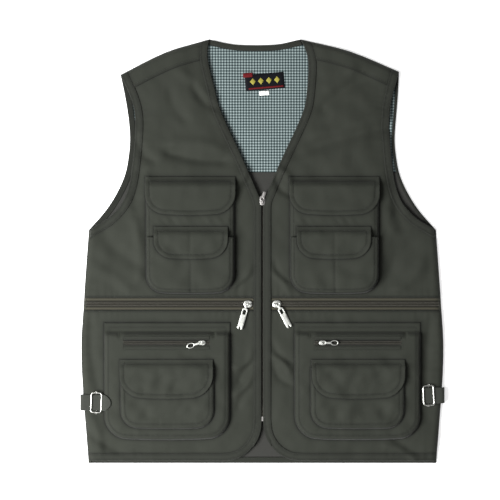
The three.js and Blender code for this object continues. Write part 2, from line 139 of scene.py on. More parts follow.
def outlines(node, level):
    """The outlines, in mm and anticlockwise, of a CAD piece's faces at a height, largest first."""
    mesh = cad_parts[node].data
    corners = [tuple(round(c * 1000, 3) for c in v.co) for v in mesh.vertices]
    sides = set()
    for face in mesh.polygons:
        ring = [corners[i] for i in face.vertices]
        if all(abs(c[2] - level) < 0.02 for c in ring):
            sides.update(zip(ring, ring[1:] + ring[:1]))
    after = {a: b for a, b in sides if (b, a) not in sides}
    loops = []
    while after:
        first, here = after.popitem()
        loop = [first]
        while here != first:
            loop.append(here)
            here = after.pop(here)
        loops.append(np.array(loop)[:, :2])
    return sorted([anticlockwise(loop) for loop in loops], key=loop_area, reverse=True)


def outline(node, level):
    return outlines(node, level)[0]


def loop_area(loop):
    """The area in a closed outline, which is negative if the outline runs clockwise."""
    x, y = loop[:, 0], loop[:, 1]
    return 0.5 * np.sum(x * np.roll(y, -1) - np.roll(x, -1) * y)


def anticlockwise(loop):
    return loop if loop_area(loop) > 0 else loop[::-1]


def even_steps(path, step):
    """Points a step apart along an open path."""
    lengths = np.linalg.norm(np.diff(path, axis=0), axis=1)
    along = np.concatenate([[0], np.cumsum(lengths)])
    count = max(1, int(round(along[-1] / step)))
    marks = np.linspace(0, along[-1], count + 1)
    return np.stack([np.interp(marks, along, path[:, k]) for k in (0, 1)], axis=1)


def softened(loop, step, passes=6, sharp=28):
    """A closed outline in even steps. Its curves are smoothed and its sharp corners stay."""
    here = loop - np.roll(loop, 1, axis=0)
    then = np.roll(loop, -1, axis=0) - loop
    turn = np.degrees(
        np.abs(
            np.arctan2(
                here[:, 0] * then[:, 1] - here[:, 1] * then[:, 0], np.sum(here * then, axis=1)
            )
        )
    )
    corners = list(np.nonzero(turn > sharp)[0])
    if not corners:
        corners = [0]
    loop = np.roll(loop, -corners[0], axis=0)
    corners = [c - corners[0] for c in corners] + [len(loop)]
    loop = np.vstack([loop, loop[:1]])
    runs = []
    for start, stop in zip(corners, corners[1:]):
        run = even_steps(loop[start : stop + 1], step)
        for _ in range(passes):
            if len(run) > 2:
                run[1:-1] = 0.25 * run[:-2] + 0.5 * run[1:-1] + 0.25 * run[2:]
        runs.append(run[:-1])
    return np.vstack(runs)


def inset(loop, distance):
    """A closed anticlockwise outline moved inwards, with mitred corners."""
    here = loop - np.roll(loop, 1, axis=0)
    then = np.roll(loop, -1, axis=0) - loop
    here = here / np.linalg.norm(here, axis=1)[:, None]
    then = then / np.linalg.norm(then, axis=1)[:, None]
    first = np.stack([-here[:, 1], here[:, 0]], axis=1)
    second = np.stack([-then[:, 1], then[:, 0]], axis=1)
    mitre = first + second
    mitre /= np.linalg.norm(mitre, axis=1)[:, None]
    reach = 1 / np.maximum(np.sum(mitre * first, axis=1), 0.6)
    distance = np.broadcast_to(distance, (len(loop),))
    return loop + mitre * (reach * distance)[:, None]


def nearest(points, path, closed=False):
    """How far each point is from a path, and how far along the path its nearest spot is."""
    if closed:
        path = np.vstack([path, path[:1]])
    start = path[:-1]
    step = np.diff(path, axis=0)
    length = np.linalg.norm(step, axis=1)
    along = np.concatenate([[0], np.cumsum(length)])[:-1]
    gaps = np.empty(len(points))
    marks = np.empty(len(points))
    for low in range(0, len(points), 3000):
        some = points[low : low + 3000, None, :] - start[None]
        share = np.clip(np.sum(some * step, axis=2) / np.maximum(length**2, 1e-9), 0, 1)
        far = np.linalg.norm(some - share[:, :, None] * step, axis=2)
        best = np.argmin(far, axis=1)
        rows = np.arange(len(best))
        gaps[low : low + 3000] = far[rows, best]
        marks[low : low + 3000] = along[best] + share[rows, best] * length[best]
    return gaps, marks


def inside(points, loop):
    """Whether each point lies inside a closed outline."""
    x0, y0 = loop[:, 0], loop[:, 1]
    x1, y1 = np.roll(x0, -1), np.roll(y0, -1)
    result = np.empty(len(points), bool)
    for low in range(0, len(points), 3000):
        x = points[low : low + 3000, 0:1]
        y = points[low : low + 3000, 1:2]
        spans = (y0 > y) != (y1 > y)
        cross = x0 + (y - y0) * (x1 - x0) / np.where(y1 == y0, 1e-9, y1 - y0)
        result[low : low + 3000] = np.sum(spans & (x < cross), axis=1) % 2 == 1
    return result


def woven_grid(loop, step, rails=(), holes=(), lines=()):
    """Triangles that fill an outline. Rails are rings inside its edge, and lines are kept too."""
    rings = [loop] + [inset(loop, rail) for rail in rails]
    for hole in holes:
        rings += [hole] + [inset(hole, -rail) for rail in rails]
    spots, edges = [], []
    for ring in rings:
        first = len(spots)
        spots += [tuple(p) for p in ring]
        edges += [(first + i, first + (i + 1) % len(ring)) for i in range(len(ring))]
    for line in lines:
        first = len(spots)
        spots += [tuple(p) for p in line]
        edges += [(first + i, first + i + 1) for i in range(len(line) - 1)]
    low, high = loop.min(axis=0), loop.max(axis=0)
    rows = np.arange(low[1], high[1], step * 0.866)
    columns = np.arange(low[0], high[0], step)
    x = columns[None, :] + (np.arange(len(rows)) % 2)[:, None] * step / 2
    y = np.repeat(rows[:, None], len(columns), axis=1)
    field = np.stack([x.ravel(), y.ravel()], axis=1)
    field = field[inside(field, loop)]
    for hole in holes:
        field = field[~inside(field, hole)]
    for ring in rings:
        field = field[nearest(field, ring, closed=True)[0] > step * 0.62]
    for line in lines:
        field = field[nearest(field, line)[0] > step * 0.55]
    spots += [tuple(p) for p in field]
    made = delaunay_2d_cdt([Vector(p) for p in spots], edges, [], 1, 1e-5, False)
    points = np.array([tuple(p) for p in made[0]])
    faces = np.array(made[2])
    for edge, wanted in [(loop, True)] + [(hole, False) for hole in holes]:
        faces = faces[inside(points[faces].mean(axis=1), edge) == wanted]
    used, faces = np.unique(faces, return_inverse=True)
    faces = faces.reshape(-1, 3)
    points = points[used]
    a, b, c = points[faces[:, 0]], points[faces[:, 1]], points[faces[:, 2]]
    turned = (b[:, 0] - a[:, 0]) * (c[:, 1] - a[:, 1]) < (b[:, 1] - a[:, 1]) * (c[:, 0] - a[:, 0])
    faces[turned] = faces[turned][:, ::-1]
    return points, faces


def sewing(path, surface, stitch=2.5, gap=0.9, width=0.42, lift=0.16):
    """A row of stitches along a path, each a short bowed thread that dips in at both ends."""
    lengths = np.linalg.norm(np.diff(path, axis=0), axis=1)
    along = np.concatenate([[0], np.cumsum(lengths)])
    starts = np.arange(0.5, along[-1] - stitch, stitch + gap)
    points, faces = [], []
    for start in starts:
        marks = start + stitch * np.array([0, 0.5, 1])
        spine = np.stack([np.interp(marks, along, path[:, k]) for k in (0, 1)], axis=1)
        run = spine[2] - spine[0]
        across = np.array([-run[1], run[0]]) / (np.linalg.norm(run) + 1e-9) * width / 2
        rings = []
        for spot, rise in zip(spine, (-0.12, lift, -0.12)):
            hit = surface.ray_cast(Vector((spot[0], spot[1], 90)), Vector((0, 0, -1)))[0]
            if hit is None:
                break
            z = hit.z + rise
            rings.append(
                [
                    (spot[0] - across[0], spot[1] - across[1], z),
                    (spot[0], spot[1], z + width * 0.55),
                    (spot[0] + across[0], spot[1] + across[1], z),
                    (spot[0], spot[1], z - width * 0.55),
                ]
            )
        if len(rings) < 3:
            continue
        first = len(points)
        for ring in rings:
            points += ring
        for k in (0, 4):
            for i in range(4):
                j = (i + 1) % 4
                faces.append((first + k + i, first + k + j, first + k + 4 + j, first + k + 4 + i))
        faces.append((first, first + 3, first + 2, first + 1)[::-1])
        faces.append((first + 8, first + 11, first + 10, first + 9))
    return points, faces


neck_half = 73.0
lean_start = 200.0
lean_length = 140.0
lean_shift = 12.0
shoulder_shift = 5.0


def lean_at(points):
    """How far the collar end has leaned over at each point, in mm."""
    return lean_shift * np.clip((points[:, 1] - lean_start) / lean_length, 0, 1) ** 2


def neck_lean(points):
    """Lay the collar end a little to its right, and the left shoulder a little further up."""
    moved = points.copy()
    moved[:, 0] -= lean_at(points)
    outward = np.clip((points[:, 0] - neck_half) / 150, 0, 1)
    upward = np.clip((points[:, 1] - lean_start) / 80, 0, 1)
    moved[:, 1] += shoulder_shift * outward * upward
    return moved


def sewn(name, grid, top, under, looks, shade=None, threads=()):
    """A closed piece of cloth between two heights, with its rows of stitches."""
    flat, faces = grid
    count = len(flat)
    over = np.column_stack([neck_lean(flat), top])
    below = np.column_stack([neck_lean(flat), under])
    ring = {}
    for a, b in np.vstack([faces[:, [0, 1]], faces[:, [1, 2]], faces[:, [2, 0]]]).tolist():
        ring[(a, b)] = (b, a) not in ring
        if not ring[(a, b)]:
            ring[(b, a)] = False
    rim = [(b, a, a + count, b + count) for (a, b), edge in ring.items() if edge]
    points = np.vstack([over, below])
    every = faces.tolist() + (faces[:, ::-1] + count).tolist() + rim
    kinds = [0] * len(every)
    # The shade given is painted shade: it darkens the cloth's colour through the points' shade
    # attribute.
    painted_shade_values = np.zeros(count) if shade is None else np.clip(shade, 0, 1)
    painted_shade_values = np.concatenate([painted_shade_values, painted_shade_values])
    if threads:
        surface = BVHTree.FromPolygons([tuple(p) for p in over], faces.tolist())
        for path in threads:
            more, sides = sewing(neck_lean(path), surface)
            if more:
                sides = [tuple(i + len(points) for i in side) for side in sides]
                points = np.vstack([points, np.array(more)])
                every += sides
                kinds += [1] * len(sides)
        painted_shade_values = np.concatenate([painted_shade_values, np.zeros(len(points) - len(painted_shade_values))])
    mesh = bpy.data.meshes.new(name)
    mesh.from_pydata((points * MM).tolist(), [], every)
    mesh.polygons.foreach_set("use_smooth", [True] * len(every))
    mesh.polygons.foreach_set("material_index", kinds)
    mesh.attributes.new("shade", "FLOAT", "POINT").data.foreach_set("value", painted_shade_values)
    mesh.update()
    piece = bpy.data.objects.new(name, mesh)
    bpy.context.scene.collection.objects.link(piece)
    for look in looks:
        mesh.materials.append(look)
    return piece


def fold_down(gap, radius, drop):
    """How far cloth has turned down at a gap from the fold, as a quarter round."""
    return drop * (1 - np.sqrt(1 - np.clip(1 - gap / radius, 0, 1) ** 2))


def drape(points, seed, size, rise):
    """Soft uneven waves, about a size apart in mm, that go up and down by a rise."""
    dice = np.random.default_rng(seed)
    height = np.zeros(len(points))
    for _ in range(7):
        angle = dice.uniform(0, math.tau)
        wave = math.tau / (size * dice.uniform(0.7, 1.6))
        ahead = points[:, 0] * math.cos(angle) + points[:, 1] * math.sin(angle)
        beside = points[:, 1] * math.cos(angle) - points[:, 0] * math.sin(angle)
        bend = 1.3 * np.sin(beside * wave * 0.4 + dice.uniform(0, math.tau))
        height += np.sin(ahead * wave + bend + dice.uniform(0, math.tau))
    return height * rise / 2.6


def puckers(gap, mark, seed, pitch, rise, reach):
    """Small gathers across a seam that die away from it."""
    dice = np.random.default_rng(seed)
    bend = 2.2 * np.sin(mark / pitch * 0.37 + dice.uniform(0, 6))
    bend += 1.7 * np.sin(mark / pitch * 0.91 + dice.uniform(0, 6))
    strength = 0.55 + 0.45 * np.sin(mark / pitch * 0.23 + dice.uniform(0, 6))
    return rise * strength * np.sin(mark * math.tau / pitch + bend) * np.exp(-gap / reach)


def new_group(name, inputs, outputs):
    """An empty shader node group with named inputs and outputs, and its two end nodes."""
    group = bpy.data.node_groups.new(name, "ShaderNodeTree")
    for label, kind, value in inputs:
        socket = group.interface.new_socket(label, in_out="INPUT", socket_type=kind)
        socket.default_value = value
    for label, kind in outputs:
        group.interface.new_socket(label, in_out="OUTPUT", socket_type=kind)
    return group, group.nodes.new("NodeGroupInput"), group.nodes.new("NodeGroupOutput")


def maths(tree, operation, first, second=0.0):
    """One sum in a shader tree. Each side is a number or another node's output."""
    node = tree.nodes.new("ShaderNodeMath")
    node.operation = operation
    for socket, value in zip(node.inputs, (first, second)):
        if isinstance(value, (int, float)):
            socket.default_value = value
        else:
            tree.links.new(value, socket)
    return node.outputs[0]


def noise(tree, place, scale, detail):
    """Soft random clouds over the surface."""
    node = tree.nodes.new("ShaderNodeTexNoise")
    node.inputs["Scale"].default_value = scale
    node.inputs["Detail"].default_value = detail
    tree.links.new(place, node.inputs["Vector"])
    return node.outputs["Fac"]


def placed(tree, group, **values):
    """A node group placed in a material, with that material's own values."""
    node = tree.nodes.new("ShaderNodeGroup")
    node.node_tree = group
    for label, value in values.items():
        node.inputs[label].default_value = value
    return node


def raise_grain(tree, shader, height, strength):
    """Let a height, at most a fifth of a millimetre, tilt how a surface catches the light."""
    raised = tree.nodes.new("ShaderNodeBump")
    raised.inputs["Strength"].default_value = strength
    raised.inputs["Distance"].default_value = 0.0002
    tree.links.new(height, raised.inputs["Height"])
    tree.links.new(raised.outputs["Normal"], shader.inputs["Normal"])


# Twill: slanting ridges of yarn, broken by the yarns that cross them.
twill, twill_in, twill_out = new_group(
    "Twill weave",
    [("Ridges", "NodeSocketFloat", 420.0), ("Slubs", "NodeSocketFloat", 0.3)],
    [("Height", "NodeSocketFloat"), ("Tone", "NodeSocketFloat")],
)
twill_place = twill.nodes.new("ShaderNodeTexCoord")
twill_turn = twill.nodes.new("ShaderNodeMapping")
twill_turn.inputs["Rotation"].default_value = (0, 0, math.radians(58))
twill.links.new(twill_place.outputs["Object"], twill_turn.inputs["Vector"])
twill_ridge = twill.nodes.new("ShaderNodeTexWave")
twill_ridge.inputs["Distortion"].default_value = 0.6
twill_ridge.inputs["Detail Scale"].default_value = 3.0
twill.links.new(twill_turn.outputs["Vector"], twill_ridge.inputs["Vector"])
twill.links.new(twill_in.outputs["Ridges"], twill_ridge.inputs["Scale"])
twill_slub = noise(twill, twill_place.outputs["Object"], 900, 2)
slub_share = maths(twill, "MULTIPLY", twill_slub, twill_in.outputs["Slubs"])
twill_sum = maths(twill, "ADD", twill_ridge.outputs["Fac"], slub_share)
twill.links.new(twill_sum, twill_out.inputs["Height"])
tone_low = maths(twill, "MULTIPLY", twill_sum, 0.16)
twill.links.new(maths(twill, "ADD", tone_low, 0.9), twill_out.inputs["Tone"])

# Cloth wear and painted shade: uneven dye over a hand's width, small mottling, and painted shade at
# seams.
worn_and_shaded, worn_and_shaded_in, worn_and_shaded_out = new_group(
    "Worn cloth and painted shade",
    [
        ("Cloth", "NodeSocketColor", (0.5, 0.5, 0.5, 1)),
        ("Seam", "NodeSocketFloat", 0.0),
        ("Tone", "NodeSocketFloat", 1.0),
        ("Fade", "NodeSocketFloat", 0.2),
    ],
    [("Color", "NodeSocketColor"), ("Rough", "NodeSocketFloat")],
)
worn_place = worn_and_shaded.nodes.new("ShaderNodeTexCoord")
worn_wide = noise(worn_and_shaded, worn_place.outputs["Object"], 11, 3)
worn_fine = noise(worn_and_shaded, worn_place.outputs["Object"], 260, 4)
both_noises = maths(worn_and_shaded, "ADD", worn_wide, worn_fine)
centred = maths(worn_and_shaded, "SUBTRACT", both_noises, 1.0)
uneven = maths(worn_and_shaded, "ADD", maths(worn_and_shaded, "MULTIPLY", centred, worn_and_shaded_in.outputs["Fade"]), 1.0)
# Painted shade from the mesh darkens the colour here, by up to 85 per cent.
painted_shade_factor = maths(worn_and_shaded, "SUBTRACT", 1.0, maths(worn_and_shaded, "MULTIPLY", worn_and_shaded_in.outputs["Seam"], 0.85))
strength = maths(worn_and_shaded, "MULTIPLY", maths(worn_and_shaded, "MULTIPLY", uneven, painted_shade_factor), worn_and_shaded_in.outputs["Tone"])
worn_and_shaded_mix = worn_and_shaded.nodes.new("ShaderNodeVectorMath")
worn_and_shaded_mix.operation = "SCALE"
worn_and_shaded.links.new(worn_and_shaded_in.outputs["Cloth"], worn_and_shaded_mix.inputs[0])
worn_and_shaded.links.new(strength, worn_and_shaded_mix.inputs["Scale"])
worn_and_shaded.links.new(worn_and_shaded_mix.outputs["Vector"], worn_and_shaded_out.inputs["Color"])
worn_rough = maths(worn_and_shaded, "ADD", maths(worn_and_shaded, "MULTIPLY", worn_fine, 0.2), 0.74)
worn_and_shaded.links.new(worn_rough, worn_and_shaded_out.inputs["Rough"])


def cloth_look(name, colour, ridges=420.0, slubs=0.3, bump=0.25, fade=0.2, sheen=0.08):
    """A woven cloth: twill ridges, uneven dye and a faint bloom of loose fibre."""
    look = bpy.data.materials.new(name)
    look.use_nodes = True
    tree = look.node_tree
    shader = tree.nodes["Principled BSDF"]
    shader.inputs["Sheen Weight"].default_value = sheen
    shader.inputs["Sheen Roughness"].default_value = 0.4
    shader.inputs["Specular IOR Level"].default_value = 0.2
    weave = placed(tree, twill, Ridges=ridges, Slubs=slubs)
    wear_and_shade = placed(tree, worn_and_shaded, Cloth=(*colour, 1), Fade=fade)
    # Painted shade: the points' shade attribute darkens the cloth along seams, edges and stitch rows.
    seam = tree.nodes.new("ShaderNodeAttribute")
    seam.attribute_name = "shade"
    tree.links.new(seam.outputs["Fac"], wear_and_shade.inputs["Seam"])
    tree.links.new(weave.outputs["Tone"], wear_and_shade.inputs["Tone"])
    tree.links.new(wear_and_shade.outputs["Color"], shader.inputs["Base Color"])
    tree.links.new(wear_and_shade.outputs["Rough"], shader.inputs["Roughness"])
    raise_grain(tree, shader, weave.outputs["Height"], bump)
    return look


shell_green = (0.0205, 0.0227, 0.0174)
thread_green = (0.0225, 0.0243, 0.0192)
shell_cloth = cloth_look("shell_cloth", shell_green)
shell_thread = cloth_look("shell_thread", thread_green, ridges=1500.0, bump=0.5)


def cut_to(loop, turning=0.0):
    """The outline of a laid sheet in mm, widened by any cloth turned under round it. Nothing is done
    with it.
    """
    cut_loop = inset(loop, -turning) if turning else loop


back_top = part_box("back_panel")[1].z * 1000
back_loop = softened(outline("back_panel", back_top), 4.0)
back_grid = woven_grid(back_loop, 9.0, rails=(0.8, 2.2))
back_gap = nearest(back_grid[0], back_loop, closed=True)[0]
back_under = 0.05 + fold_down(back_gap, 2.0, 0.6)
back_rise = back_top + drape(back_grid[0], 5, 90, 0.12) - fold_down(back_gap, 2.0, 0.6)
# Painted shade: a darker line 8 mm inside the edge.
back_panel = sewn(
    "back_panel_cloth",
    back_grid,
    back_rise,
    back_under,
    [shell_cloth, shell_thread],
    np.exp(-((back_gap - 8) ** 2) / 3) * 0.4,
)
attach(back_panel, "vest")
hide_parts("back_panel")
cut_to(back_loop)

# The bound edge of each back armhole: a folded strip with one row of stitches.
armhole_low = 34.0
armhole_high = 283.0
back_edge = outline("back_panel", back_top)
right_half = back_edge[back_edge[:, 0] > 0]
arm_part = right_half[right_half[:, 1] > armhole_low - 0.1]
arm_part = arm_part[arm_part[:, 1] < armhole_high + 0.1]
back_arm = arm_part[np.argsort(arm_part[:, 1])]
binding_widths = {"left": 4.8, "right": 10.0}
binding_height = 4.6
band_green = (0.0182, 0.0200, 0.0156)
band_cloth = cloth_look("band_cloth", band_green, ridges=470.0)


def mirrored(path, sign):
    return path * np.array([sign, 1])


def strip(path, near, far, step=3.0):
    """The closed outline of a strip that runs along a path between two offsets to its left."""
    path = even_steps(path, step)
    for _ in range(6):
        path[1:-1] = 0.25 * path[:-2] + 0.5 * path[1:-1] + 0.25 * path[2:]
    tangent = np.gradient(path, axis=0)
    tangent /= np.linalg.norm(tangent, axis=1)[:, None]
    left = np.column_stack([-tangent[:, 1], tangent[:, 0]])
    return anticlockwise(np.vstack([path + left * near, (path + left * far)[::-1]]))


for side, sign in (("left", 1), ("right", -1)):
    path = mirrored(back_arm, sign)
    loop = strip(path, 0.0, binding_widths[side] * sign)
    grid = woven_grid(loop, 4.0, rails=(0.6, 1.6))
    gap = nearest(grid[0], loop, closed=True)[0]
    edge, mark = nearest(grid[0], even_steps(path, 4.0))
    top = binding_height - fold_down(gap, 1.6, 1.2) + puckers(edge, mark, 8, 9, 0.2, 30)
    # Painted shade: the whole strip is darkened, more so along a line 3 mm from the armhole edge.
    binding = sewn(
        f"{side}_back_arm_binding",
        grid,
        top,
        np.full(len(gap), 1.2),
        [band_cloth, shell_thread],
        0.35 + 0.4 * np.exp(-((edge - 3) ** 2) / 1.2),
        [even_steps(inset(loop, 2.0), 3.0)],
    )
    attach(binding, "vest")

# ---------------------------------------------------------------- linings and labels
# Inside the back, a small-checked cotton covers the shoulders and a grey knitted mesh hangs
# below it, both sewn in flat. Folded bands bind the back's hem and neck. A woven label and a
# blank white tag sit under the collar.
check, check_in, check_out = new_group(
    "Woven check",
    [("Repeat", "NodeSocketFloat", 0.0045)],
    [("Dark", "NodeSocketFloat"), ("Height", "NodeSocketFloat")],
)
check_place = check.nodes.new("ShaderNodeTexCoord")
check_axes = check.nodes.new("ShaderNodeSeparateXYZ")
check.links.new(check_place.outputs["Object"], check_axes.inputs["Vector"])
stripes = []
for axis in ("X", "Y"):
    share = maths(check, "DIVIDE", check_axes.outputs[axis], check_in.outputs["Repeat"])
    wave = maths(check, "SINE", maths(check, "MULTIPLY", share, math.tau))
    steep = maths(check, "MULTIPLY", wave, 2.4)
    band = maths(check, "ADD", maths(check, "MULTIPLY", steep, 0.5), 0.6)
    stripes.append(maths(check, "MINIMUM", maths(check, "MAXIMUM", band, 0.0), 1.0))
check_sum = maths(check, "MULTIPLY", maths(check, "ADD", stripes[0], stripes[1]), 0.5)
check.links.new(check_sum, check_out.inputs["Dark"])
check_weft = check.nodes.new("ShaderNodeTexWave")
check_weft.bands_direction = "Y"
check_weft.inputs["Scale"].default_value = 700
check.links.new(check_place.outputs["Object"], check_weft.inputs["Vector"])
check.links.new(check_weft.outputs["Fac"], check_out.inputs["Height"])

check_lining = bpy.data.materials.new("check_lining")
check_lining.use_nodes = True
check_tree = check_lining.node_tree
check_shader = check_tree.nodes["Principled BSDF"]
check_shader.inputs["Roughness"].default_value = 0.88
check_shader.inputs["Specular IOR Level"].default_value = 0.2
check_weave = placed(check_tree, check)
check_dye = check_tree.nodes.new("ShaderNodeValToRGB")
check_dye.color_ramp.elements[0].position = 0.05
check_dye.color_ramp.elements[0].color = (0.25, 0.305, 0.305, 1)
check_dye.color_ramp.elements[1].position = 0.95
check_dye.color_ramp.elements[1].color = (0.011, 0.022, 0.024, 1)
check_middle = check_dye.color_ramp.elements.new(0.5)
check_middle.color = (0.082, 0.108, 0.109, 1)
check_wear_and_shade = placed(check_tree, worn_and_shaded, Fade=0.15)
# Painted shade: the points' shade attribute darkens the check's colour.
check_painted_shade = check_tree.nodes.new("ShaderNodeAttribute")
check_painted_shade.attribute_name = "shade"
check_tree.links.new(check_weave.outputs["Dark"], check_dye.inputs["Fac"])
check_tree.links.new(check_dye.outputs["Color"], check_wear_and_shade.inputs["Cloth"])
check_tree.links.new(check_painted_shade.outputs["Fac"], check_wear_and_shade.inputs["Seam"])
check_tree.links.new(check_wear_and_shade.outputs["Color"], check_shader.inputs["Base Color"])
raise_grain(check_tree, check_shader, check_weave.outputs["Height"], 0.2)

knit, knit_in, knit_out = new_group(
    "Knitted mesh",
    [("Cells", "NodeSocketFloat", 620.0)],
    [("Height", "NodeSocketFloat"), ("Tone", "NodeSocketFloat")],
)
knit_place = knit.nodes.new("ShaderNodeTexCoord")
knit_cells = knit.nodes.new("ShaderNodeTexVoronoi")
knit_cells.inputs["Randomness"].default_value = 0.25
knit.links.new(knit_place.outputs["Object"], knit_cells.inputs["Vector"])
knit.links.new(knit_in.outputs["Cells"], knit_cells.inputs["Scale"])
knit_height = maths(knit, "MINIMUM", knit_cells.outputs["Distance"], 0.5)
knit.links.new(knit_height, knit_out.inputs["Height"])
knit.links.new(maths(knit, "ADD", knit_height, 0.62), knit_out.inputs["Tone"])

mesh_grey = (0.026, 0.0262, 0.0235)
mesh_lining = cloth_look("mesh_lining", mesh_grey, sheen=0.12)
mesh_tree = mesh_lining.node_tree
mesh_knit = placed(mesh_tree, knit)
# This group also darkens the mesh by its painted shade attribute.
mesh_wear_and_shade = [n for n in mesh_tree.nodes if n.type == "GROUP" and n.node_tree == worn_and_shaded][0]
mesh_bump = [n for n in mesh_tree.nodes if n.type == "BUMP"][0]
mesh_tree.links.new(mesh_knit.outputs["Tone"], mesh_wear_and_shade.inputs["Tone"])
mesh_tree.links.new(mesh_knit.outputs["Height"], mesh_bump.inputs["Height"])

for name, look in (("back_yoke_lining", check_lining), ("back_mesh_lining", mesh_lining)):
    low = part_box(name)[0].z * 1000
    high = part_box(name)[1].z * 1000
    loop = softened(outline(name, high), 4.0)
    grid = woven_grid(loop, 7.0, rails=(0.5, 1.4))
    gap = nearest(grid[0], loop, closed=True)[0]
    waves = drape(grid[0], 12, 70, 0.5) * np.clip(gap / 25, 0, 1)
    top = high + 0.2 + np.maximum(waves, -0.4) - fold_down(gap, 1.4, 0.5)
    lining = sewn(f"{name}_cloth", grid, top, np.full(len(gap), low - 0.1), [look], 0 * gap)
    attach(lining, "vest")
    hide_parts(name)
    cut_to(loop)

for name, lift in (("back_hem", 0.5), ("back_neck_band", 1.2)):
    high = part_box(name)[1].z * 1000
    loop = softened(outline(name, high), 3.0)
    grid = woven_grid(loop, 4.0, rails=(0.5, 1.5))
    gap = nearest(grid[0], loop, closed=True)[0]
    top = high + lift - fold_down(gap, 1.6, 1.1)
    # Painted shade: the band is a little darker overall and much darker at its edges.
    shade = 0.1 + 0.35 * np.exp(-gap / 0.8)
    band = sewn(
        f"{name}_cloth",
        grid,
        top,
        np.full(len(gap), 1.4),
        [band_cloth, shell_thread],
        shade,
        [even_steps(inset(loop, 1.8), 3.0)],
    )
    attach(band, "vest")
    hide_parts(name)


def plain_look(name, colour, rough, metal=0.0, bump=0.1, scale=600.0, stretch=(1, 1, 1)):
    """A finish with a fine grain: uneven colour, uneven gloss and a light bump."""
    look = bpy.data.materials.new(name)
    look.use_nodes = True
    tree = look.node_tree
    shader = tree.nodes["Principled BSDF"]
    shader.inputs["Metallic"].default_value = metal
    shader.inputs["Specular IOR Level"].default_value = 0.5 if metal else 0.08
    place = tree.nodes.new("ShaderNodeTexCoord")
    turned = tree.nodes.new("ShaderNodeMapping")
    turned.inputs["Scale"].default_value = stretch
    tree.links.new(place.outputs["Object"], turned.inputs["Vector"])
    grain = noise(tree, turned.outputs["Vector"], scale, 3)
    tint = tree.nodes.new("ShaderNodeValToRGB")
    tint.color_ramp.elements[0].position = 0.3
    tint.color_ramp.elements[0].color = (*(0.72 * c for c in colour), 1)
    tint.color_ramp.elements[1].position = 0.7
    tint.color_ramp.elements[1].color = (*colour, 1)
    gloss = maths(tree, "ADD", maths(tree, "MULTIPLY", grain, 0.16), rough - 0.08)
    tree.links.new(grain, tint.inputs["Fac"])
    tree.links.new(tint.outputs["Color"], shader.inputs["Base Color"])
    tree.links.new(gloss, shader.inputs["Roughness"])
    raise_grain(tree, shader, grain, bump)
    return look


label_black = plain_look("label_black", (0.004, 0.004, 0.006), 0.6, scale=900.0, bump=0.3)
label_gold = plain_look("label_gold", (0.30, 0.27, 0.05), 0.6, scale=900.0, bump=0.3)
label_red = plain_look("label_red", (0.11, 0.008, 0.010), 0.6, scale=900.0, bump=0.3)
tag_white = plain_look("tag_white", (0.85, 0.85, 0.83), 0.7, scale=500.0)


def turned_shape(shape, middle, degrees):
    """A shape turned anticlockwise about its own origin and moved to a middle."""
    angle = math.radians(degrees)
    turn = np.array([[math.cos(angle), math.sin(angle)], [-math.sin(angle), math.cos(angle)]])
    return np.array(shape, float) @ turn + middle


def oblong(width, height, x=0.0, y=0.0, corner=0.6):
    """A rectangle with softly rounded corners, anticlockwise, about a middle."""
    points = []
    for sx, sy, start in ((1, 1, 0), (-1, 1, 90), (-1, -1, 180), (1, -1, 270)):
        for step in (0, 30, 60, 90):
            angle = math.radians(start + step)
            px = x + sx * (width / 2 - corner) + corner * math.cos(angle)
            points.append((px, y + sy * (height / 2 - corner) + corner * math.sin(angle)))
    return np.array(points)


def unlean(points):
    """Where cloth lies before the lean, so that a label ends up at the place it is given."""
    return points + np.column_stack([lean_at(points), np.zeros(len(points))])


label_middle = np.array([3.7, 272.0])
label_parts = [
    ("neck_label_ground", oblong(63, 26), label_black, 3.3, 4.5),
    ("neck_label_end", oblong(15, 7, -26, 12.5), label_red, 4.4, 5.2),
    ("neck_label_line", oblong(56, 2.6, 1.5, -9.5), label_red, 4.4, 4.9),
]
for k in range(4):
    x = -19 + 13 * k
    diamond = [(x + 4.6, 1.5), (x, 7), (x - 4.6, 1.5), (x, -4)]
    label_parts.append((f"neck_label_diamond_{k + 1}", diamond, label_gold, 4.4, 4.95))
for name, shape, look, low, high in label_parts:
    loop = unlean(turned_shape(shape, label_middle, 5))
    grid = woven_grid(loop, 5.0, rails=(0.4,))
    gap = nearest(grid[0], loop, closed=True)[0]
    top = high - fold_down(gap, 0.5, 0.3)
    part = sewn(name, grid, top, np.full(len(gap), low), [look])
    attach(part, "vest")
    if name == "neck_label_ground":
        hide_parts("neck_label")
tag_loop = unlean(turned_shape(oblong(15.5, 7), np.array([3.0, 253.5]), 4))
tag_grid = woven_grid(tag_loop, 4.0, rails=(0.4,))
tag_gap = nearest(tag_grid[0], tag_loop, closed=True)[0]
tag_top = 4.4 - fold_down(tag_gap, 0.5, 0.3)
tag = sewn("size_tag_cloth", tag_grid, tag_top, np.full(len(tag_gap), 3.3), [tag_white])
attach(tag, "vest")
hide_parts("size_tag")

# ---------------------------------------------------------------- fronts
# Each front is an upper and a lower panel of twill on a soft body of air and lining. They are
# sewn to the back down the sides, and a yoke folds over each shoulder from the back.
front_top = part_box("left_front_lower")[1].z * 1000
seam_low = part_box("left_side_seam")[0].z * 1000
waist_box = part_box("left_waist_zip_upper"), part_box("left_waist_zip_lower")
waist_middle = 500 * (waist_box[0][1].y + waist_box[1][0].y)
side_part = right_half[(right_half[:, 1] < armhole_low + 0.1) & (right_half[:, 0] > 270)]
side_path = side_part[np.argsort(side_part[:, 1])]
shoulder_part = right_half[right_half[:, 1] > armhole_high - 0.1]
shoulder_part = shoulder_part[shoulder_part[:, 0] > neck_half - 0.1]
shoulder_path = shoulder_part[np.argsort(shoulder_part[:, 0])]


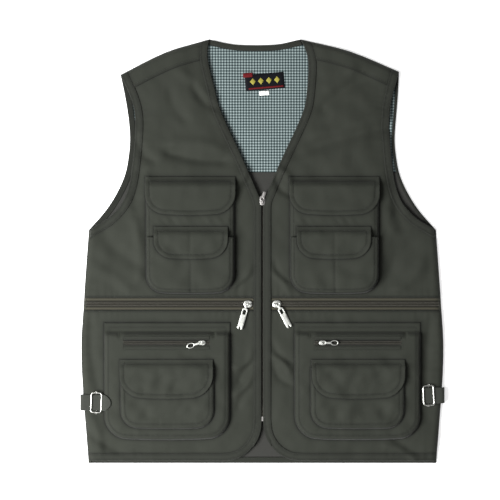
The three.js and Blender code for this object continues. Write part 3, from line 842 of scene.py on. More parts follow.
def far_run(loop, others, gap):
    """The longest stretch of an outline that stays further than a gap from other outlines."""
    away = np.min([nearest(loop, other, closed=True)[0] for other in others], axis=0) > gap
    start = int(np.nonzero(~away)[0][0])
    loop, away = np.roll(loop, -start, axis=0), np.roll(away, -start)
    runs, here = [], []
    for point, far in zip(loop, away):
        if far:
            here.append(point)
        elif here:
            runs.append(here)
            here = []
    runs.append(here)
    return np.array(max(runs, key=len))


panel_nodes = ("left_front_upper", "left_front_lower", "left_shoulder_yoke")
panel_loops = [outline(node, front_top - 1.8) for node in panel_nodes]
arm_loop = outline("left_armhole_facing", front_top - 1.8)
arm_path = far_run(arm_loop, panel_loops, 8)
arm_path = arm_path[np.argsort(arm_path[:, 1])]
band_loop = outline("left_front_band", front_top - 1.8)
edge_path = far_run(band_loop, panel_loops, 8)
neck_part = edge_path[edge_path[:, 1] > 76]
hem_part = edge_path[edge_path[:, 1] < -260]


def pocket_outline(x0, x1, top, bottom, corner, sag):
    """A pocket with a straight top, big round lower corners and a slightly bowed lower edge."""
    loop = flap_outline(x0, x1, top, bottom, corner, sag)
    return softened(loop, 3.0, passes=3)


def flap_outline(x0, x1, top, bottom, corner, sag):
    """A flap with a straight top edge, big round lower corners and a slightly sagging edge."""
    points = [(x1, top), (x0, top), (x0, bottom + corner)]
    for k in range(1, 10):
        angle = math.radians(180 + 9 * k)
        points.append((x0 + corner * (1 + math.cos(angle)), bottom + corner * (1 + math.sin(angle))))
    for k in range(1, 12):
        points.append((x0 + corner + (x1 - x0 - 2 * corner) * k / 12, bottom))
    for k in range(0, 10):
        angle = math.radians(270 + 9 * k)
        points.append((x1 + corner * (math.cos(angle) - 1), bottom + corner * (1 + math.sin(angle))))
    points = np.array(points)
    share = np.sin((points[:, 0] - x0) / (x1 - x0) * math.pi)
    points[:, 1] += sag * (1 - share) * (points[:, 1] < bottom + corner * 1.2)
    return points


# What is sewn on the fronts gets a painted contact shadow, a darker line in the cloth round it.
chest_loop = pocket_outline(43.8, 186.8, 100.0, -68.5, 27, 2.5)
chest_flap = flap_outline(42.7, 187.7, 119.4, 57.4, 30, 4.0)
lower_loop = pocket_outline(51.0, 253.5, -114.0, -302.0, 36, 2.5)


def half_of(points):
    return np.column_stack([np.abs(points[:, 0]), points[:, 1]])


contact_shade_dark = 0.9
contact_shade_reach = 1.9


def painted_contact_shade(points, loops):
    """A painted contact shadow: a darker line in the cloth round the outline of a piece sewn on top.
    """
    shade = np.zeros(len(points))
    for loop in loops:
        gap = nearest(half_of(points), loop, closed=True)[0]
        shade = np.maximum(shade, contact_shade_dark * np.exp(-gap / contact_shade_reach))
    return shade


def marks_of(loops, sign):
    """Lines just outside each outline, where the cloth needs points of its own."""
    lines = []
    for loop in loops:
        even = softened(loop, 3.0, passes=1)
        for out in (0.5, 1.6, 3.0):
            ring = inset(even, -out)
            lines.append(mirrored(np.vstack([ring, ring[:1]]), sign))
    return lines


def crumpled(sheets, steps=18):
    """Cloth simulation of flat sheets that are a little too large for the seams that hold them.

    Each sheet is (low corner, high corner, step, held, growth, cap). It returns, for each, a
    function that gives the height in mm that the crumpling adds at any points.
    """
    scene = bpy.context.scene
    made = []
    for number, (low, high, step, held, growth, cap) in enumerate(sheets):
        columns = np.arange(low[0], high[0] + step, step)
        rows = np.arange(low[1], high[1] + step, step)
        x, y = np.meshgrid(columns, rows)
        flat = np.column_stack([x.ravel(), y.ravel()])
        start = drape(flat, 200 + number, 34, 0.35)
        count = len(columns)
        faces = []
        for row in range(len(rows) - 1):
            for column in range(count - 1):
                a = row * count + column
                faces.append((a, a + 1, a + count + 1, a + count))
        mesh = bpy.data.meshes.new("loose_cloth")
        mesh.from_pydata((np.column_stack([flat, start]) * MM).tolist(), [], faces)
        cloth = bpy.data.objects.new("loose_cloth", mesh)
        scene.collection.objects.link(cloth)
        group = cloth.vertex_groups.new(name="held")
        weights = np.clip(held(flat), 0, 1)
        for value in np.unique(np.round(weights, 1)):
            members = np.nonzero(np.round(weights, 1) == value)[0].tolist()
            group.add(members, float(value), "REPLACE")
        modifier = cloth.modifiers.new("cloth", "CLOTH")
        modifier.settings.quality = 6
        modifier.settings.mass = 0.12
        modifier.settings.tension_stiffness = 40
        modifier.settings.compression_stiffness = 40
        modifier.settings.shear_stiffness = 12
        modifier.settings.bending_stiffness = 0.35
        modifier.settings.air_damping = 2
        modifier.settings.shrink_min = -growth
        modifier.settings.vertex_group_mass = "held"
        modifier.settings.pin_stiffness = 1.0
        modifier.settings.effector_weights.gravity = 0
        modifier.collision_settings.use_collision = False
        made.append((cloth, flat, columns, rows, cap, step, weights))
    for moment in range(1, steps + 1):
        scene.frame_set(moment)
    view = bpy.context.evaluated_depsgraph_get()
    samplers = []
    for cloth, flat, columns, rows, cap, step, weights in made:
        seen = cloth.evaluated_get(view).data
        heights = np.empty(len(flat) * 3)
        seen.vertices.foreach_get("co", heights)
        field = heights.reshape(-1, 3)[:, 2] / MM
        field = cap * np.tanh(field / cap) * (1 - weights)
        field = field.reshape(len(rows), len(columns))
        for _ in range(2):
            field[1:-1] = 0.25 * field[:-2] + 0.5 * field[1:-1] + 0.25 * field[2:]
            field[:, 1:-1] = 0.25 * field[:, :-2] + 0.5 * field[:, 1:-1] + 0.25 * field[:, 2:]
        samplers.append(sampler(field, columns[0], rows[0], step))
        mesh = cloth.data
        bpy.data.objects.remove(cloth)
        bpy.data.meshes.remove(mesh)
    scene.frame_set(1)
    return samplers


def sampler(field, x0, y0, step):
    """A function that reads a grid of heights at any points, eased between its rows."""

    def sample(points):
        column = np.clip((points[:, 0] - x0) / step, 0, field.shape[1] - 1.001)
        row = np.clip((points[:, 1] - y0) / step, 0, field.shape[0] - 1.001)
        i, j = column.astype(int), row.astype(int)
        u, v = column - i, row - j
        u, v = u * u * (3 - 2 * u), v * v * (3 - 2 * v)
        near = field[j, i] * (1 - u) + field[j, i + 1] * u
        far = field[j + 1, i] * (1 - u) + field[j + 1, i + 1] * u
        return near * (1 - v) + far * v

    return sample


def front_held(points):
    """How firmly the fronts are held: fully outside them and at their seams, not between."""
    half = half_of(points)
    held = np.ones(len(points))
    for node in ("left_front_upper", "left_front_lower"):
        loop = outline(node, front_top - 1.8)
        gap = nearest(half, loop, closed=True)[0]
        held = np.where(inside(half, loop), np.clip(1 - (gap - 2) / 7, 0, 1), held)
    for loop in (chest_loop, lower_loop):
        gap = nearest(half, loop, closed=True)[0]
        held = np.maximum(held, np.clip(1 - gap / 6, 0, 1) * 0.5)
    return held


front_slack = 0.009
left_field = ((12, -338), (290, 285), 6.0, front_held, front_slack, 2.6)
right_field = ((-290, -338), (-12, 285), 6.0, front_held, front_slack, 2.6)
front_crumple = crumpled([left_field, right_field])

# Folds that the cloth took as it was laid: both ends of each, its half width and its height.
cloth_folds = [
    (-148, 158, -66, 145, 9, -2.0),
    (-140, 172, -70, 164, 10, 1.2),
    (-106, 262, -80, 232, 8, -1.6),
    (-120, 284, -70, 214, 9, 0.9),
    (-146, 250, -128, 214, 9, -0.9),
    (-202, 178, -178, 146, 8, -1.3),
    (-196, 120, -204, 60, 9, -1.1),
    (-184, 118, -190, 92, 6, 0.8),
    (198, 198, 60, 158, 12, -2.2),
    (190, 218, 90, 188, 12, 1.2),
    (168, 274, 100, 230, 11, -1.9),
    (150, 290, 110, 262, 9, 0.9),
    (210, 120, 222, 40, 10, -1.2),
    (196, 110, 204, 60, 8, 0.8),
    (25, 133, 46, 107, 6, 1.2),
    (22, 116, 40, 92, 6, -1.2),
    (-26, 128, -42, 104, 6, 1.1),
    (-22, 112, -40, 86, 6, -0.9),
    (-18, -30, -44, -54, 6, 1.3),
    (-20, -44, -42, -68, 5, -1.1),
    (18, -36, 40, -62, 6, 1.1),
    (20, -20, 40, -46, 5, -0.8),
    (-16, -165, -40, -186, 6, 1.4),
    (-12, -180, -36, -206, 6, -1.2),
    (-10, -193, -42, -228, 7, 1.4),
    (-12, -214, -38, -246, 6, -1.0),
    (16, -150, 44, -176, 6, -1.1),
    (16, -168, 42, -190, 6, 1.3),
    (18, -186, 42, -212, 6, -1.0),
    (-284, -284, -226, -322, 7, -1.4),
    (-272, -268, -262, -318, 8, 1.1),
    (-246, -306, -150, -322, 7, -0.8),
    (214, -300, 266, -328, 7, -1.2),
    (200, -312, 244, -334, 6, 0.9),
    (-250, 20, -200, -20, 12, -1.4),
    (-262, -30, -216, -60, 10, 1.1),
    (236, 10, 200, -40, 12, -1.3),
    (256, -20, 214, -64, 10, 1.0),
    (-276, -108, -262, -220, 8, -1.0),
    (270, -110, 262, -220, 8, -1.0),
    (-206, 60, -196, -40, 8, 1.1),
]


def wrinkles(points):
    """What folds and waves add to the height of the fronts."""
    height = drape(points, 21, 95, 0.8) + drape(points, 22, 38, 0.3) + drape(points, 23, 17, 0.1)
    on_left = points[:, 0] > 0
    height += 0.8 * np.where(on_left, front_crumple[0](points), front_crumple[1](points))
    for x0, y0, x1, y1, wide, rise in cloth_folds:
        run = np.array([x1 - x0, y1 - y0], float)
        length = np.linalg.norm(run)
        run /= length
        here = points - np.array([x0, y0])
        along = here @ run
        bow = 4 * np.sin(along / length * math.pi) * (1 if rise > 0 else -1)
        across = here[:, 0] * -run[1] + here[:, 1] * run[0] - bow
        past = np.maximum(np.maximum(-along, along - length), 0)
        height += 2.4 * rise * np.exp(-((across / wide) ** 2) - (past / (wide * 1.3)) ** 2)
    near_waist = np.abs(points[:, 1] - waist_middle)
    steady = np.clip((near_waist - 9) / 16, 0.04, 1)
    steady *= np.clip((np.abs(points[:, 0]) - 9) / 14, 0.15, 1)
    return height * steady


def front_height(points, share=1.0):
    """The height of the top of the front cloth, in mm, with a share of its wrinkles."""
    half = half_of(points)
    side_gap, side_mark = nearest(half, side_path)
    shoulder_gap = nearest(half, shoulder_path)[0]
    arm_gap, arm_mark = nearest(half, arm_path)
    neck_gap = nearest(half, neck_part)[0]
    hem_gap, hem_mark = nearest(half, hem_part)
    height = np.full(len(points), front_top)
    height -= fold_down(side_gap, 10, front_top - seam_low - 1.0)
    height -= fold_down(shoulder_gap, 9, front_top - seam_low - 1.0)
    height -= 3.2 * np.exp(-((arm_gap / 26) ** 2))
    height -= 3.0 * np.exp(-((neck_gap / 24) ** 2)) * np.clip((half[:, 1] - 90) / 50, 0, 1)
    height -= 3.6 * np.exp(-((hem_gap / 22) ** 2))
    gathers = puckers(np.abs(arm_gap - 13), arm_mark, 31, 11, 0.32, 9)
    gathers += puckers(np.abs(hem_gap - 13), hem_mark, 32, 13, 0.35, 9)
    gathers += puckers(side_gap, side_mark, 33, 17, 0.55, 16)
    near_waist = np.abs(points[:, 1] - waist_middle)
    gathers *= np.clip((near_waist - 8) / 8, 0, 1)
    seams = puckers(np.maximum(near_waist - 9, 0), points[:, 0], 34, 12, 0.7, 11)
    seams *= np.clip((near_waist - 9) / 3, 0, 1)
    return np.maximum(height + share * (wrinkles(points) + gathers + seams), 2.7)


seam_line = 9.3
for side, sign in (("left", 1), ("right", -1)):
    for part in ("upper", "lower"):
        node = f"{side}_front_{part}"
        loop = softened(outline(node, front_top - 1.8), 4.0)
        half = loop * np.array([sign, 1])
        at_side = nearest(half, side_path)[0]
        at_waist = np.abs(loop[:, 1] - waist_middle)
        tuck = 1.8 * np.clip((at_side - 1) / 4, 0, 1) * np.clip((at_waist - 11) / 2, 0, 1)
        loop = inset(loop, -tuck)
        sewn_on = (chest_loop, chest_flap) if part == "upper" else (lower_loop,)
        grid = woven_grid(loop, 3.1, rails=(0.5, 1.3, 2.6), lines=marks_of(sewn_on, sign))
        points = grid[0]
        gap = nearest(points, loop, closed=True)[0]
        from_waist = np.abs(points[:, 1] - waist_middle)
        turned_in = fold_down(from_waist - seam_line, 1.3, 1.5)
        top = front_height(points) - turned_in - fold_down(gap, 0.7, 0.5)
        # Painted shade: darker at the cut edges and along the waist seam, with a painted contact
        # shadow round what is sewn on top.
        shade = 0.75 * np.exp(-gap / 1.6) + 0.4 * np.exp(-(((from_waist - 11.6) / 0.9) ** 2))
        shade = np.maximum(shade, painted_contact_shade(points, sewn_on))
        row = even_steps(np.array([[sign * 14.0, 0], [sign * 278.0, 0]]), 4.0)
        row[:, 1] = waist_middle + (1 if part == "upper" else -1) * (seam_line + 2.0)
        cloth = sewn(
            f"{node}_cloth",
            grid,
            top,
            np.maximum(top - 1.7, 0.6),
            [shell_cloth, shell_thread],
            shade,
            [row],
        )
        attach(cloth, "vest")
        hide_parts(node)
        cut_to(loop)

    # The yoke comes over the shoulder fold and laps onto the panel along a stitched seam.
    node = f"{side}_shoulder_yoke"
    loop = softened(outline(node, front_top), 4.0)
    half = loop * np.array([sign, 1])
    at_fold = nearest(half, shoulder_path)[0]
    loop = inset(loop, -1.6 * np.clip((at_fold - 1) / 4, 0, 1))
    grid = woven_grid(loop, 3.1, rails=(0.5, 1.3, 2.4))
    points = grid[0]
    gap = nearest(points, loop, closed=True)[0]
    half = points * np.array([sign, 1])
    fold = nearest(half, shoulder_path)[0]
    lip = nearest(half, strip(shoulder_path, -28.4, -28.0))[0]
    top = front_height(points) + 0.9 * np.clip((fold - 2) / 5, 0, 1) - fold_down(gap, 1.1, 0.9)
    # Painted shade: darker at the edges away from the shoulder fold and along a line near the lapped
    # seam.
    yoke = sewn(
        f"{node}_cloth",
        grid,
        top,
        np.maximum(top - 2.6, 0.5),
        [shell_cloth, shell_thread],
        np.exp(-gap / 1.7) * (fold > 4) + 0.5 * np.exp(-((lip - 3) ** 2)),
        [mirrored(even_steps(strip(shoulder_path, -24.6, -24.5), 3.0)[2:60], sign)],
    )
    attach(yoke, "vest")
    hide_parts(node)
    cut_to(loop, turning=3.0)

    # The side seam is the turned edge of the front where it meets the back.
    node = f"{side}_side_seam"
    path = mirrored(side_path, sign)
    loop = strip(path, 0.0, 5.0 * sign)
    grid = woven_grid(loop, 4.0, rails=(0.8,))
    points = grid[0]
    gap = nearest(points, path)[0]
    top = front_height(points) - 1.0
    seam = sewn(f"{node}_cloth", grid, np.maximum(top, 2.0), np.full(len(gap), 1.2), [shell_cloth])
    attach(seam, "vest")
    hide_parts(node)

# ---------------------------------------------------------------- bands and armhole facings
# The neck, the zip edges, the rounded corners and the hem are bound by one folded band on each
# front. Each armhole has a facing of the same width. Both are topstitched near both edges.
band_rise = 1.3
band_width = 13.0
for side, sign in (("left", 1), ("right", -1)):
    for node in (f"{side}_front_band", f"{side}_armhole_facing"):
        loop = softened(outline(node, front_top - 1.8), 3.0, passes=4)
        outer = edge_path if node.endswith("band") else arm_path
        grid = woven_grid(loop, 3.0, rails=(0.5, 1.2, 2.3))
        points = grid[0]
        half = points * np.array([sign, 1])
        gap = nearest(points, loop, closed=True)[0]
        out, mark = nearest(half, outer)
        crown = 0.5 * np.sin(np.clip(out / band_width, 0, 1) * math.pi)
        pinch = puckers(np.abs(out - band_width), mark, 41, 8, 0.18, 5)
        row_in = np.exp(-(((out - (band_width - 2.4)) / 0.7) ** 2))
        row_out = np.exp(-(((out - 2.4) / 0.7) ** 2))
        top = front_height(points) + band_rise + crown + pinch - 0.3 * (row_in + row_out)
        top -= fold_down(gap, 1.5, 1.5)
        near_zip = np.clip((16 - half[:, 0]) / 6, 0, 1) * (half[:, 1] < 80)
        low = np.where(near_zip > 0, np.maximum(top - 2.3, front_top - 1.7), top - 2.9)
        # Painted shade: darker at the edges and along both stitch rows.
        shade = 0.45 * np.exp(-gap / 0.9) + 0.42 * row_in + 0.3 * row_out
        lines = [even_steps(inset(loop, 2.3), 3.0)]
        cloth = sewn(
            f"{node}_cloth",
            grid,
            top,
            np.maximum(low, 0.6),
            [band_cloth, shell_thread],
            shade,
            lines,
        )
        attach(cloth, "vest")
        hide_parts(node)

# ---------------------------------------------------------------- chest pockets
# A bellows pocket on each chest, sewn down on three sides and open at the top. A small pocket
# with a centre pleat is sewn on it, and a stitched flap covers the mouth of each.
pocket_depth = 8.8
patch_depth = 6.0
flap_gap = 0.45
flap_cloth = 1.6


def smooth_share(value):
    share = np.clip(value, 0, 1)
    return share * share * (3 - 2 * share)


def open_sides(loop):
    """The sewn part of a pocket's outline: all of it but the straight edge at its top."""
    top = loop[:, 1].max()
    keep = loop[:, 1] < top - 0.3
    start = int(np.nonzero(~keep)[0][-1])
    turned = np.roll(loop, -start - 1, axis=0)
    kept = np.roll(keep, -start - 1)
    path = turned[kept]
    first = np.array([[path[0, 0], top]])
    last = np.array([[path[-1, 0], top]])
    return np.vstack([first, path, last])


chest_sewn = open_sides(chest_loop)
patch_loop = pocket_outline(44.8, 185.8, 22.5, -67.5, 27, 2.5)
patch_sewn = open_sides(patch_loop)
chest_seam = 6.2
pleat_x = 115.0


def patch_held(points):
    half = half_of(points)
    gap = nearest(half, patch_loop, closed=True)[0]
    pleat = np.clip(1 - np.abs(half[:, 0] - pleat_x) / 5, 0, 1) * 0.8
    return np.where(inside(half, patch_loop), np.maximum(np.clip(1 - (gap - 3) / 6, 0, 1), pleat), 1)


def flap_held(points):
    half = half_of(points)
    top_gap = np.minimum(np.abs(half[:, 1] - 119), np.abs(half[:, 1] - 39))
    return np.clip(1 - (top_gap - 4) / 8, 0, 1)


patch_fields = [
    ((42, -70), (190, 24), 5.0, patch_held, 0.014, 1.5),
    ((-190, -70), (-42, 24), 5.0, patch_held, 0.014, 1.5),
    ((42, 54), (190, 122), 5.0, flap_held, 0.012, 1.1),
    ((-190, 54), (-42, 122), 5.0, flap_held, 0.012, 1.1),
]
patch_crumple = crumpled(patch_fields)


def on_side(points, pair):
    return np.where(points[:, 0] > 0, pair[0](points), pair[1](points))


def chest_height(points, edge=True):
    """The top of a chest pocket. Without its edge it is as high at the sides as inside."""
    gap, mark = nearest(half_of(points), chest_sewn)
    full = gap if edge else np.maximum(gap, 7.0)
    height = front_height(points, 0.12 + 0.88 * np.exp(-full / 5))
    height += pocket_depth * (1 - np.exp(-full / 2.0))
    height += 0.9 * (1 - np.exp(-full / 28)) + drape(points, 51, 34, 0.4) * np.clip(full / 14, 0, 1)
    height += puckers(np.abs(full - chest_seam), mark, 52, 10, 0.2, 5)
    slant = points[:, 0] + 0.5 * points[:, 1]
    between_flaps = np.exp(-(((points[:, 1] - 48.5) / 6) ** 2)) * np.clip(full / 10, 0, 1)
    height += 0.45 * np.sin(slant / 2.6) * (0.6 + 0.4 * np.sin(slant / 11)) * between_flaps
    height -= 0.55 * np.exp(-(((full - chest_seam) / 0.8) ** 2))
    return height


def patch_height(points, edge=True):
    """The top of the small pocket that is sewn on a chest pocket."""
    half = half_of(points)
    gap, mark = nearest(half, patch_sewn)
    full = gap if edge else np.maximum(gap, 7.0)
    height = chest_height(points, edge=False) + patch_depth * (1 - np.exp(-full / 1.8))
    height += drape(points, 53, 30, 0.4) * np.clip(full / 14, 0, 1)
    height += puckers(np.abs(full - chest_seam), mark, 54, 9, 0.22, 5)
    height -= 0.5 * np.exp(-(((full - chest_seam) / 0.8) ** 2))
    height += on_side(points, patch_crumple[:2])
    height -= 1.3 * np.exp(-np.abs(half[:, 0] - pleat_x) / 1.6)
    return height


def flap_piece(name, node, sign, loop, ground, cover, slack, turn_over, shift):
    """A flap sewn along its top edge. It climbs from the cloth it is sewn to onto its pocket."""
    shape = softened(anticlockwise(mirrored(loop, sign)), 3.0, passes=2)
    root = loop[:, 1].max()
    grid = woven_grid(shape, 3.0, rails=(0.5, 1.2, 2.2, 6.4, 7.2, 8.0))
    points = grid[0]
    gap, mark = nearest(points, shape, closed=True)
    climb = smooth_share((root - 0.5 - points[:, 1]) / turn_over)
    lift = flap_gap + flap_cloth + 1.2 * np.exp(-gap / 9) * climb * 0.4
    height = (1 - climb) * (ground(points) + flap_cloth) + climb * (cover(points) + lift)
    height -= fold_down(gap, 1.4, 1.1)
    height -= 0.5 * np.exp(-(((gap - 7.0) / 0.8) ** 2))
    height += puckers(np.abs(gap - 7), mark, shift, 9, 0.16, 4)
    bumps = slack(points)
    height += 0.5 * (bumps + np.sqrt(bumps**2 + 0.1)) * climb
    row = np.exp(-(((gap - 7.0) / 0.9) ** 2))
    # Painted shade: darker at the edge and along the stitch row.
    shade = 0.5 * np.exp(-gap / 0.8) + 0.5 * row
    inner = inset(shape, 7.0)
    flap = sewn(
        name,
        grid,
        height,
        height - flap_cloth + fold_down(gap, 1.2, 0.5),
        [shell_cloth, shell_thread],
        shade,
        [even_steps(np.vstack([inner, inner[:1]]), 3.0)],
    )
    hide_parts(node)
    cut_to(shape)
    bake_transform(flap)


small_flap = flap_outline(54.5, 173.5, 39.5, -12.5, 27, 3.4)
for side, sign in (("left", 1), ("right", -1)):
    for kind, edge, sewn_path, height, below in (
        ("chest_pocket", chest_loop, chest_sewn, chest_height, front_height),
        ("chest_small_pocket", patch_loop, patch_sewn, patch_height, chest_height),
    ):
        node = f"{side}_{kind}"
        loop = anticlockwise(mirrored(edge, sign))
        sewn_on = (small_flap,) if kind == "chest_small_pocket" else (small_flap, chest_flap)
        rails = (0.5, 1.1, 1.9, 3.2, 5.4, 6.2, 7.0)
        grid = woven_grid(loop, 2.8, rails=rails, lines=marks_of(sewn_on, sign))
        points = grid[0]
        gap = nearest(half_of(points), sewn_path)[0]
        mouth = edge[:, 1].max() - points[:, 1]
        top = height(points) - fold_down(mouth, 1.0, 0.6)
        pleat = np.exp(-np.abs(np.abs(points[:, 0]) - pleat_x) / 0.9) * (kind != "chest_pocket")
        foot = below(points) - 0.6
        top = np.maximum(top, foot + 0.5)
        # Painted shade: darker at the sewn edge, along the stitch row and the pleat, with a painted
        # contact shadow round the flaps.
        shade = 0.85 * np.exp(-gap / 1.5) + 0.5 * np.exp(-(((gap - chest_seam) / 0.9) ** 2))
        shade += 0.6 * pleat
        shade = np.maximum(shade, painted_contact_shade(points, sewn_on))
        row = mirrored(even_steps(inset(edge, chest_seam), 3.0), sign)
        row = row[row[:, 1] < edge[:, 1].max() - chest_seam - 1]
        cloth = sewn(
            f"{node}_cloth",
            grid,
            top,
            np.where(gap < 1.0, foot, top - 1.5),
            [shell_cloth, shell_thread],
            shade,
            [row],
        )
        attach(cloth, "vest")
        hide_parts(node)
    flap_piece(
        f"{side}_chest_flap_cloth",
        f"{side}_chest_flap",
        sign,
        chest_flap,
        front_height,
        lambda points: chest_height(points, edge=False),
        lambda points: on_side(points, patch_crumple[2:]),
        17.0,
        61,
    )
    flap_piece(
        f"{side}_chest_small_flap_cloth",
        f"{side}_chest_small_flap",
        sign,
        small_flap,
        lambda points: chest_height(points, edge=False),
        lambda points: patch_height(points, edge=False),
        lambda points: drape(points, 64, 30, 0.5),
        15.0,
        62,
    )

# ---------------------------------------------------------------- lower pockets
# A large zipped pocket on each side of the hem, sewn down all round, with a boxed zip opening
# near its top. It carries a small pocket with rounded corners and a stitched flap.
lower_depth = 9.4
lower_sewn = open_sides(lower_loop)
lower_patch_loop = pocket_outline(76.3, 226.9, -185.5, -283.5, 27, 2.0)
lower_patch_sewn = open_sides(lower_patch_loop)
pocket_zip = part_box("left_pocket_zip_upper"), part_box("left_pocket_zip_lower")
pocket_zip_y = 500 * (pocket_zip[0][1].y + pocket_zip[1][0].y)
pocket_zip_x = 1000 * pocket_zip[0][0].x, 1000 * pocket_zip[0][1].x
pocket_zip_top = 1000 * pocket_zip[0][1].z


def lower_held(points):
    half = half_of(points)
    gap = nearest(half, lower_loop, closed=True)[0]
    held = np.where(inside(half, lower_loop), np.clip(1 - (gap - 3) / 7, 0, 1), 1)
    slot = np.clip(1 - (np.abs(half[:, 1] - pocket_zip_y) - 12) / 8, 0, 1)
    sewn_gap = nearest(half, lower_patch_loop, closed=True)[0]
    return np.maximum(held, np.maximum(slot, 0.6 * np.clip(1 - sewn_gap / 6, 0, 1)))


def lower_patch_held(points):
    half = half_of(points)
    gap = nearest(half, lower_patch_loop, closed=True)[0]
    return np.where(inside(half, lower_patch_loop), np.clip(1 - (gap - 3) / 7, 0, 1), 1)


def lower_flap_held(points):
    return np.clip(1 - (np.abs(points[:, 1] + 173) - 4) / 8, 0, 1)


lower_fields = [
    ((50, -304), (255, -112), 5.0, lower_held, 0.012, 2.0),
    ((-255, -304), (-50, -112), 5.0, lower_held, 0.012, 2.0),
    ((75, -286), (229, -184), 5.0, lower_patch_held, 0.014, 1.6),
    ((-229, -286), (-75, -184), 5.0, lower_patch_held, 0.014, 1.6),
    ((77, -238), (229, -170), 5.0, lower_flap_held, 0.012, 1.2),
    ((-229, -238), (-77, -170), 5.0, lower_flap_held, 0.012, 1.2),
]
lower_crumple = crumpled(lower_fields)


def lower_height(points, edge=True):
    """The top of a lower pocket: flat where it is sewn on at the top, then full."""
    gap, mark = nearest(half_of(points), lower_sewn)
    full = gap if edge else np.maximum(gap, 8.0)
    top_gap = lower_loop[:, 1].max() - points[:, 1]
    rise = smooth_share((-127.0 - points[:, 1]) / 8.5)
    height = front_height(points, 0.05 + 0.95 * np.exp(-np.minimum(full, top_gap) / 5))
    height += 1.3 * (1 - np.exp(-np.minimum(full, np.maximum(top_gap, 0)) / 0.5))
    height += lower_depth * (1 - np.exp(-full / 2.4)) * rise
    from_zip = np.abs(points[:, 1] - pocket_zip_y)
    steady = np.clip((from_zip - 9) / 14, 0, 1)
    soft = drape(points, 71, 40, 0.55) + drape(points, 72, 19, 0.16)
    height += (soft + 0.8 * (1 - np.exp(-full / 30))) * np.clip(full / 14, 0, 1) * rise * steady
    height += puckers(np.abs(full - 7), mark, 73, 11, 0.24, 6) * rise * steady
    height += on_side(points, lower_crumple[:2]) * np.clip(full / 10, 0, 1) * rise * steady
    height += puckers(np.maximum(from_zip - 12, 0), points[:, 0], 74, 9, 0.22, 6) * steady * rise
    height -= 0.5 * np.exp(-(((full - 7.5) / 0.9) ** 2)) * rise
    return height


def lower_patch_height(points, edge=True):
    """The top of the small pocket that is sewn on a lower pocket."""
    gap, mark = nearest(half_of(points), lower_patch_sewn)
    full = gap if edge else np.maximum(gap, 9.0)
    height = lower_height(points, edge=False) + patch_depth * (1 - np.exp(-full / 1.8))
    height += (0.6 + drape(points, 75, 32, 0.5)) * np.clip(full / 16, 0, 1)
    height += puckers(np.abs(full - 8), mark, 76, 9, 0.24, 5)
    height += on_side(points, lower_crumple[2:4])
    height -= 0.5 * np.exp(-(((full - 8.0) / 0.9) ** 2))
    return height


lower_flap = flap_outline(78.3, 227.6, -172.5, -235.0, 33, 4.0)
slot_hole = np.array(
    [
        (pocket_zip_x[0] + 2, pocket_zip_y - 9.5),
        (pocket_zip_x[1] - 2, pocket_zip_y - 9.5),
        (pocket_zip_x[1] - 2, pocket_zip_y + 9.5),
        (pocket_zip_x[0] + 2, pocket_zip_y + 9.5),
    ]
)
slot_loop = softened(slot_hole, 3.0, passes=0)
for side, sign in (("left", 1), ("right", -1)):
    node = f"{side}_lower_pocket"
    loop = anticlockwise(mirrored(lower_loop, sign))
    hole = anticlockwise(mirrored(slot_loop, sign))
    rails = (0.5, 1.2, 2.4, 4.2, 6.8, 7.6, 8.4)
    lines = marks_of((lower_patch_loop, lower_flap), sign)
    grid = woven_grid(loop, 2.9, rails=rails, holes=(hole,), lines=lines)
    points = grid[0]
    around = nearest(half_of(points), lower_loop, closed=True)[0]
    at_hole = nearest(points, hole, closed=True)[0]
    foot = front_height(points) - 0.6
    top = np.maximum(lower_height(points) - fold_down(at_hole, 1.2, 1.0), foot + 0.5)
    # Painted shade: darker at the sewn edge, along the stitch row and round the zip opening, with a
    # painted contact shadow round the small pocket and flap.
    shade = 0.85 * np.exp(-around / 1.4) + 0.5 * np.exp(-(((around - 7.6) / 0.9) ** 2))
    shade += 0.6 * np.exp(-at_hole / 1.0)
    shade = np.maximum(shade, painted_contact_shade(points, (lower_patch_loop, lower_flap)))
    box_row = inset(hole, -3.6)
    lower_inner = inset(lower_loop, 7.6)
    row = mirrored(even_steps(np.vstack([lower_inner, lower_inner[:1]]), 3.0), sign)
    cloth = sewn(
        f"{node}_cloth",
        grid,
        top,
        np.where(around < 1.0, foot, top - 1.5),
        [shell_cloth, shell_thread],
        shade,
        [row, even_steps(np.vstack([box_row, box_row[:1]]), 3.0)],
    )
    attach(cloth, "vest")
    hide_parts(node)

    node = f"{side}_lower_small_pocket"
    loop = anticlockwise(mirrored(lower_patch_loop, sign))
    rails = (0.5, 1.1, 1.9, 3.4, 7.2, 8.0, 8.8)
    grid = woven_grid(loop, 2.8, rails=rails, lines=marks_of((lower_flap,), sign))
    points = grid[0]
    gap = nearest(half_of(points), lower_patch_sewn)[0]
    mouth = lower_patch_loop[:, 1].max() - points[:, 1]
    foot = lower_height(points) - 0.6
    top = np.maximum(lower_patch_height(points) - fold_down(mouth, 1.0, 0.6), foot + 0.5)
    # Painted shade: darker at the sewn edge and along the stitch row, with a painted contact shadow
    # round the flap.
    shade = 0.85 * np.exp(-gap / 1.5) + 0.5 * np.exp(-(((gap - 8.0) / 0.9) ** 2))
    shade = np.maximum(shade, painted_contact_shade(points, (lower_flap,)))
    row = mirrored(even_steps(inset(lower_patch_loop, 8.0), 3.0), sign)
    row = row[row[:, 1] < lower_patch_loop[:, 1].max() - 9]
    cloth = sewn(
        f"{node}_cloth",
        grid,
        top,
        np.where(gap < 1.0, foot, top - 1.5),
        [shell_cloth, shell_thread],
        shade,
        [row],
    )
    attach(cloth, "vest")
    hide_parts(node)
    flap_piece(
        f"{side}_lower_flap_cloth",
        f"{side}_lower_flap",
        sign,
        lower_flap,
        lambda points: lower_height(points, edge=False),
        lambda points: lower_patch_height(points, edge=False),
        lambda points: on_side(points, lower_crumple[4:]),
        15.0,
        63,
    )

